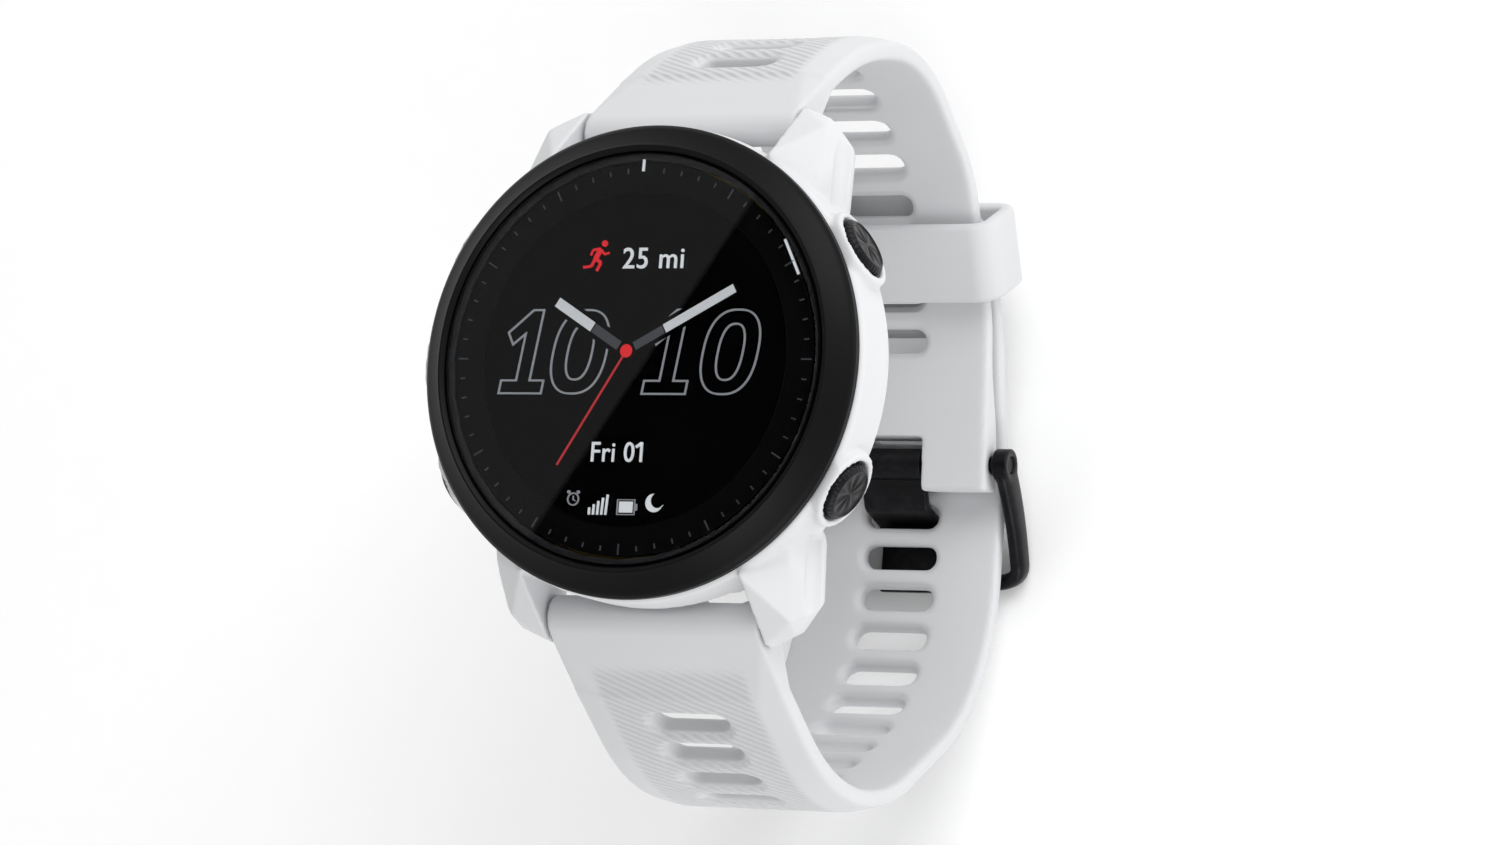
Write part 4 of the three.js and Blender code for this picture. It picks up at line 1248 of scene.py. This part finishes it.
def buckle_bow():
    """The cast bow: an eye at each end of the pin, bent arms and a round cross bar."""
    arm_x = (ARM_LOW + ARM_HIGH) / 2
    half_arm = (ARM_HIGH - ARM_LOW) / 2
    pin = Vector((PIN_Y, PIN_Z))
    elbow = Vector((PIN_Y - 5.6, PIN_Z - 3.3))
    bar_centre = Vector(CROSS_BAR)
    points, tops = [], []
    ease = 14
    for i in range(ease + 1):
        t = i / ease
        bend = elbow + Vector((0.25, -1.3))
        p = (1 - t) ** 2 * pin + 2 * t * (1 - t) * bend + t * t * bar_centre
        points.append(Vector((arm_x, p.x, p.y)))
        tops.append(EYE_RADIUS + (ARM_HALF_HEIGHT - EYE_RADIUS) * smooth_step(0, 1, t))
    end = points[-1]
    back = (points[-1] - points[-2]).normalized()
    points, tops = points[:-2], tops[:-2]
    inner = Vector((arm_x - ARM_CORNER, end.y, end.z))
    start = points[-1]
    for i in range(1, 9):
        t = i / 8
        p = (1 - t) ** 2 * start + 2 * t * (1 - t) * end + t * t * inner
        points.append(p)
        tops.append(ARM_HALF_HEIGHT + (CROSS_BAR_RADIUS - ARM_HALF_HEIGHT) * t)
    steps = 12
    for i in range(1, steps + 1):
        points.append(Vector((inner.x * (1 - i / steps), end.y, end.z)))
        tops.append(CROSS_BAR_RADIUS)
    right = list(zip(points, tops))
    left = [(Vector((-p.x, p.y, p.z)), top) for p, top in right[:-1]][::-1]
    line = right + left
    stations = []
    down = Vector((0, back.z, -back.y))
    for i, (p, top) in enumerate(line):
        before = line[max(0, i - 1)][0]
        after = line[min(len(line) - 1, i + 1)][0]
        heading = (after - before).normalized()
        normal = down - heading * down.dot(heading)
        normal.normalize()
        side = heading.cross(normal).normalized()
        share = abs(side.x)
        across = half_arm * share + CROSS_BAR_RADIUS * (1 - share)
        stations.append((p, side, normal, across, top))
    made = tube_between(stations)
    eyes = [rod(EYE_RADIUS, (sign * ARM_LOW, PIN_Y, PIN_Z), (sign * ARM_HIGH, PIN_Y, PIN_Z), 48)
            for sign in (1, -1)]
    combine(made, eyes, "UNION")
    half = TONGUE_HALF + 0.3
    y, z = CROSS_BAR
    rest = block((-half, y - 3, z - 3), (half, y + 3, z - 0.1))
    hole = rod(PIN_HOLE_RADIUS, (-20, PIN_Y, PIN_Z), (20, PIN_Y, PIN_Z), 32)
    combine(made, [rest, hole], "DIFFERENCE")
    soften(made, 0.13, 3)
    return finish(made, "buckle_bow", BLACK_STEEL, "buckle",
                  ["buckle_frame"])


def buckle_plate():
    """The wide flat tongue: rolled around the pin, through its slot and down on the bar."""
    slot_y = PIN_Y - 4.9
    half_thick = TONGUE_THICKNESS / 2
    rest_z = CROSS_BAR[1] - 0.2 - half_thick
    bends = [
        (PIN_Y, PIN_Z), (slot_y + 0.7, -LOOP_DEPTH + 1.2, 0.8),
        (slot_y - 0.5, -LOOP_DEPTH - BACK_THICKNESS - 0.5, 0.6), (slot_y - 1.9, rest_z, 0.8),
        (CROSS_BAR[0] - 1.1, rest_z),
    ]
    route = Route(bends, 1)
    count = 60
    section = rounded_section(2 * TONGUE_HALF, TONGUE_THICKNESS, 0.22, 3)
    rings = []
    for i in range(count + 1):
        origin, _, out = in_frame(route, route.length * i / count)
        rings.append([origin + Vector((x, 0, 0)) + out * n for x, n in section])
    made = skin("tongue", rings)
    barrel = rod(BARREL_RADIUS, (-TONGUE_HALF, PIN_Y, PIN_Z), (TONGUE_HALF, PIN_Y, PIN_Z), 64)
    combine(made, [barrel], "UNION")
    pin_hole = rod(PIN_HOLE_RADIUS, (-20, PIN_Y, PIN_Z), (20, PIN_Y, PIN_Z), 32)
    combine(made, [pin_hole], "DIFFERENCE")
    soften(made, 0.12, 2)
    return finish(made, "buckle_plate", BLACK_STEEL, "buckle",
                  ["buckle_tongue"])


# ---- buttons ----

def button_cap(name, degrees):
    """A turned cap: knurled rim, chamfers and a face cut with a shallow cross pattern."""
    flutes = 36
    segments = flutes * 6
    base, face = CASE_RADIUS - 0.35, BUTTON_FACE
    profile = [
        (0, BORE_RADIUS - 1.25), (0.75, BORE_RADIUS - 1.25), (0.75, base),
        (BUTTON_RADIUS - 0.12, base), (BUTTON_RADIUS, base + 0.12),
        (BUTTON_RADIUS, face - 0.42), (BUTTON_RADIUS - 0.1, face - 0.28),
        (BUTTON_RADIUS - 0.36, face - 0.03), (BUTTON_RADIUS - 0.5, face),
        (BUTTON_RADIUS - 0.62, face - 0.12), (BUTTON_RADIUS - 0.8, face - 0.14),
        (1.6, face - 0.12), (1.0, face - 0.11), (0.4, face - 0.1), (0, face - 0.1),
    ]
    made = revolve("cap", profile, segments)
    for vertex in made.data.vertices:
        radius = math.hypot(vertex.co.x, vertex.co.y)
        angle = math.atan2(vertex.co.y, vertex.co.x)
        if radius > BUTTON_RADIUS - 0.2:
            vertex.co.xy *= 1 - 0.012 * (1 + math.cos(flutes * angle))
        elif 0.3 < radius < BUTTON_RADIUS - 0.7 and vertex.co.z > face - 0.2:
            vertex.co.z += 0.06 * math.cos(8 * angle) * math.sin(math.pi * radius / 2.2)
    radial(made, degrees)
    return finish(made, f"cap_{name}", BLACK_STEEL, f"{name}_button",
                  [f"button_{name}"], crease=35)


# ---- pieces kept from the CAD ----

KEPT = {
    "white_case": POLYMER, "black_bezel": BEZEL_NYLON, "lens_glass": SENSOR,
    "grey_rubber": RUBBER, "dial_black": DISPLAY, "steel": STEEL, "gold_plate": GOLD,
    "black_plastic": BACK_NYLON, "circuit_board": BOARD, "battery_foil": FOIL,
    "black_metal": BLACK_STEEL, "white_silicone": SILICONE_PLAIN,
}


def dress_cad_nodes():
    """Gives every CAD node the material of its record slot."""
    for part in frame["record"]["subparts"]:
        node = frame["nodes"][part["node"]]
        node.data.materials.clear()
        node.data.materials.append(KEPT[part["material_slot"]])
    pin = frame["nodes"]["buckle_pin"]
    pin.data.materials[0] = BLACK_STEEL


# ---- stage ----

VIEW_RIGHT = Vector((0.9009, 0.0711, -0.4281)).normalized()
VIEW_BACK = Vector((0.4339, -0.1334, 0.891))
VIEW_BACK = (VIEW_BACK - VIEW_RIGHT * VIEW_BACK.dot(VIEW_RIGHT)).normalized()
VIEW_UP = VIEW_BACK.cross(VIEW_RIGHT)
VIEW_DISTANCE = 500
VIEW_SIDE, VIEW_LIFT = 5.109, -3.814
LENS_MM = 128.7


def make_camera():
    data = bpy.data.cameras.new("camera")
    data.lens = LENS_MM
    data.sensor_width = 36
    data.sensor_fit = "HORIZONTAL"
    data.clip_start = 0.01
    data.clip_end = 20
    camera = bpy.data.objects.new("camera", data)
    bpy.context.scene.collection.objects.link(camera)
    spot = VIEW_BACK * VIEW_DISTANCE + VIEW_RIGHT * VIEW_SIDE + VIEW_UP * VIEW_LIFT
    rotation = Matrix((VIEW_RIGHT, VIEW_UP, VIEW_BACK)).transposed()
    camera.matrix_world = Matrix.Translation(spot * MM) @ rotation.to_4x4()
    bpy.context.scene.camera = camera


def softbox(name, right, up, back, size, watts):
    """A square area light placed by its directions from the camera's view."""
    data = bpy.data.lights.new(name, "AREA")
    data.shape = "RECTANGLE"
    data.size = size * MM
    data.size_y = size * MM
    data.energy = watts
    made = bpy.data.objects.new(name, data)
    bpy.context.scene.collection.objects.link(made)
    target = Vector((0, 0, -15))
    spot = target + VIEW_RIGHT * right + VIEW_UP * up + VIEW_BACK * back
    made.location = spot * MM
    made.rotation_euler = (spot - target).to_track_quat("Z", "Y").to_euler()


def reflection_cards():
    """Two small cards above the lens, one grey and lit and one black: the straight edge
    between them gives the lens its slanting reflection."""
    first, second = [Vector((x, y, CARD_HEIGHT)) for x, y in CARD_EDGE]
    edge = (second - first).normalized()
    away = Vector((edge.y, -edge.x, 0))
    ends = [first - edge * 40, second + edge * 40]
    for name, side, strength in (("grey_card", away, 0.13), ("black_card", -away, 0.0)):
        corners = ends + [ends[1] + side * 80, ends[0] + side * 80]
        made = mesh_object(name, corners, [[0, 1, 2, 3]])
        made.data.transform(Matrix.Scale(MM, 4))
        material, tree, out = blank(name)
        glow = add(tree, "ShaderNodeEmission", {"Color": linear("ffffff"), "Strength": strength})
        tree.links.new(glow.outputs[0], out.inputs[0])
        made.data.materials.append(material)


def make_stage():
    size = 3000
    floor = mesh_object("floor", [(-size, -size, 0), (size, -size, 0), (size, size, 0),
                                  (-size, size, 0)], [[0, 1, 2, 3]])
    floor.data.transform(Matrix.Translation((0, 0, FLOOR_Z - 0.05)))
    floor.data.transform(Matrix.Scale(MM, 4))
    material, tree, out = blank("pale_floor")
    point = add(tree, "ShaderNodeTexCoord").outputs["Object"]
    paper = add(tree, "ShaderNodeTexNoise",
                {"Vector": point, "Scale": 1 / (3 * MM), "Detail": 3.0}).outputs["Fac"]
    patterned(tree, out, (paper, "fdfdfd", "ffffff"), (paper, 0.8, 0.9), None, {
        "Specular IOR Level": 0.1,
    })
    floor.data.materials.append(material)
    world = bpy.data.worlds.new("studio")
    world.use_nodes = True
    world.node_tree.nodes["Background"].inputs["Color"].default_value = (1, 1, 1, 1)
    world.node_tree.nodes["Background"].inputs["Strength"].default_value = 0.66
    bpy.context.scene.world = world
    softbox("key", 120, 560, 520, 520, 3.4)
    softbox("front", 120, -520, 450, 400, 1.7)
    softbox("side", 650, 150, 200, 350, 1.7)
    reflection_cards()


bpy.context.scene.view_settings.view_transform = "Standard"
make_camera()
make_stage()
dress_cad_nodes()
case_shell()
bezel_ring()
lens_disc()
dial_faces()
minute_ticks()
clock_hands()
digit_one("hours_one", -13.55)
digit_nought("hours_nought", -8.75)
digit_one("minutes_one", 1.2)
digit_nought("minutes_nought", 6.55)
words("distance_text", "25 mi", -1.7, 8.35, 6.2, 1.95, SEGMENT_WHITE)
words("date_text", "Fri 01", -3.45, -9.5, 5.2, 1.85, SEGMENT_WHITE)
marks("date_flag", [bar((1.05, -8.12), (1.62, -7.74), 0.24)], SEGMENT_WHITE)
runner_sign(-4.3, 9.5)
status_signs()
strap_long()
strap_short()
keeper_loop()
buckle_bow()
buckle_plate()
for button_name, button_angle in BUTTON_ANGLES.items():
    button_cap(button_name, button_angle)
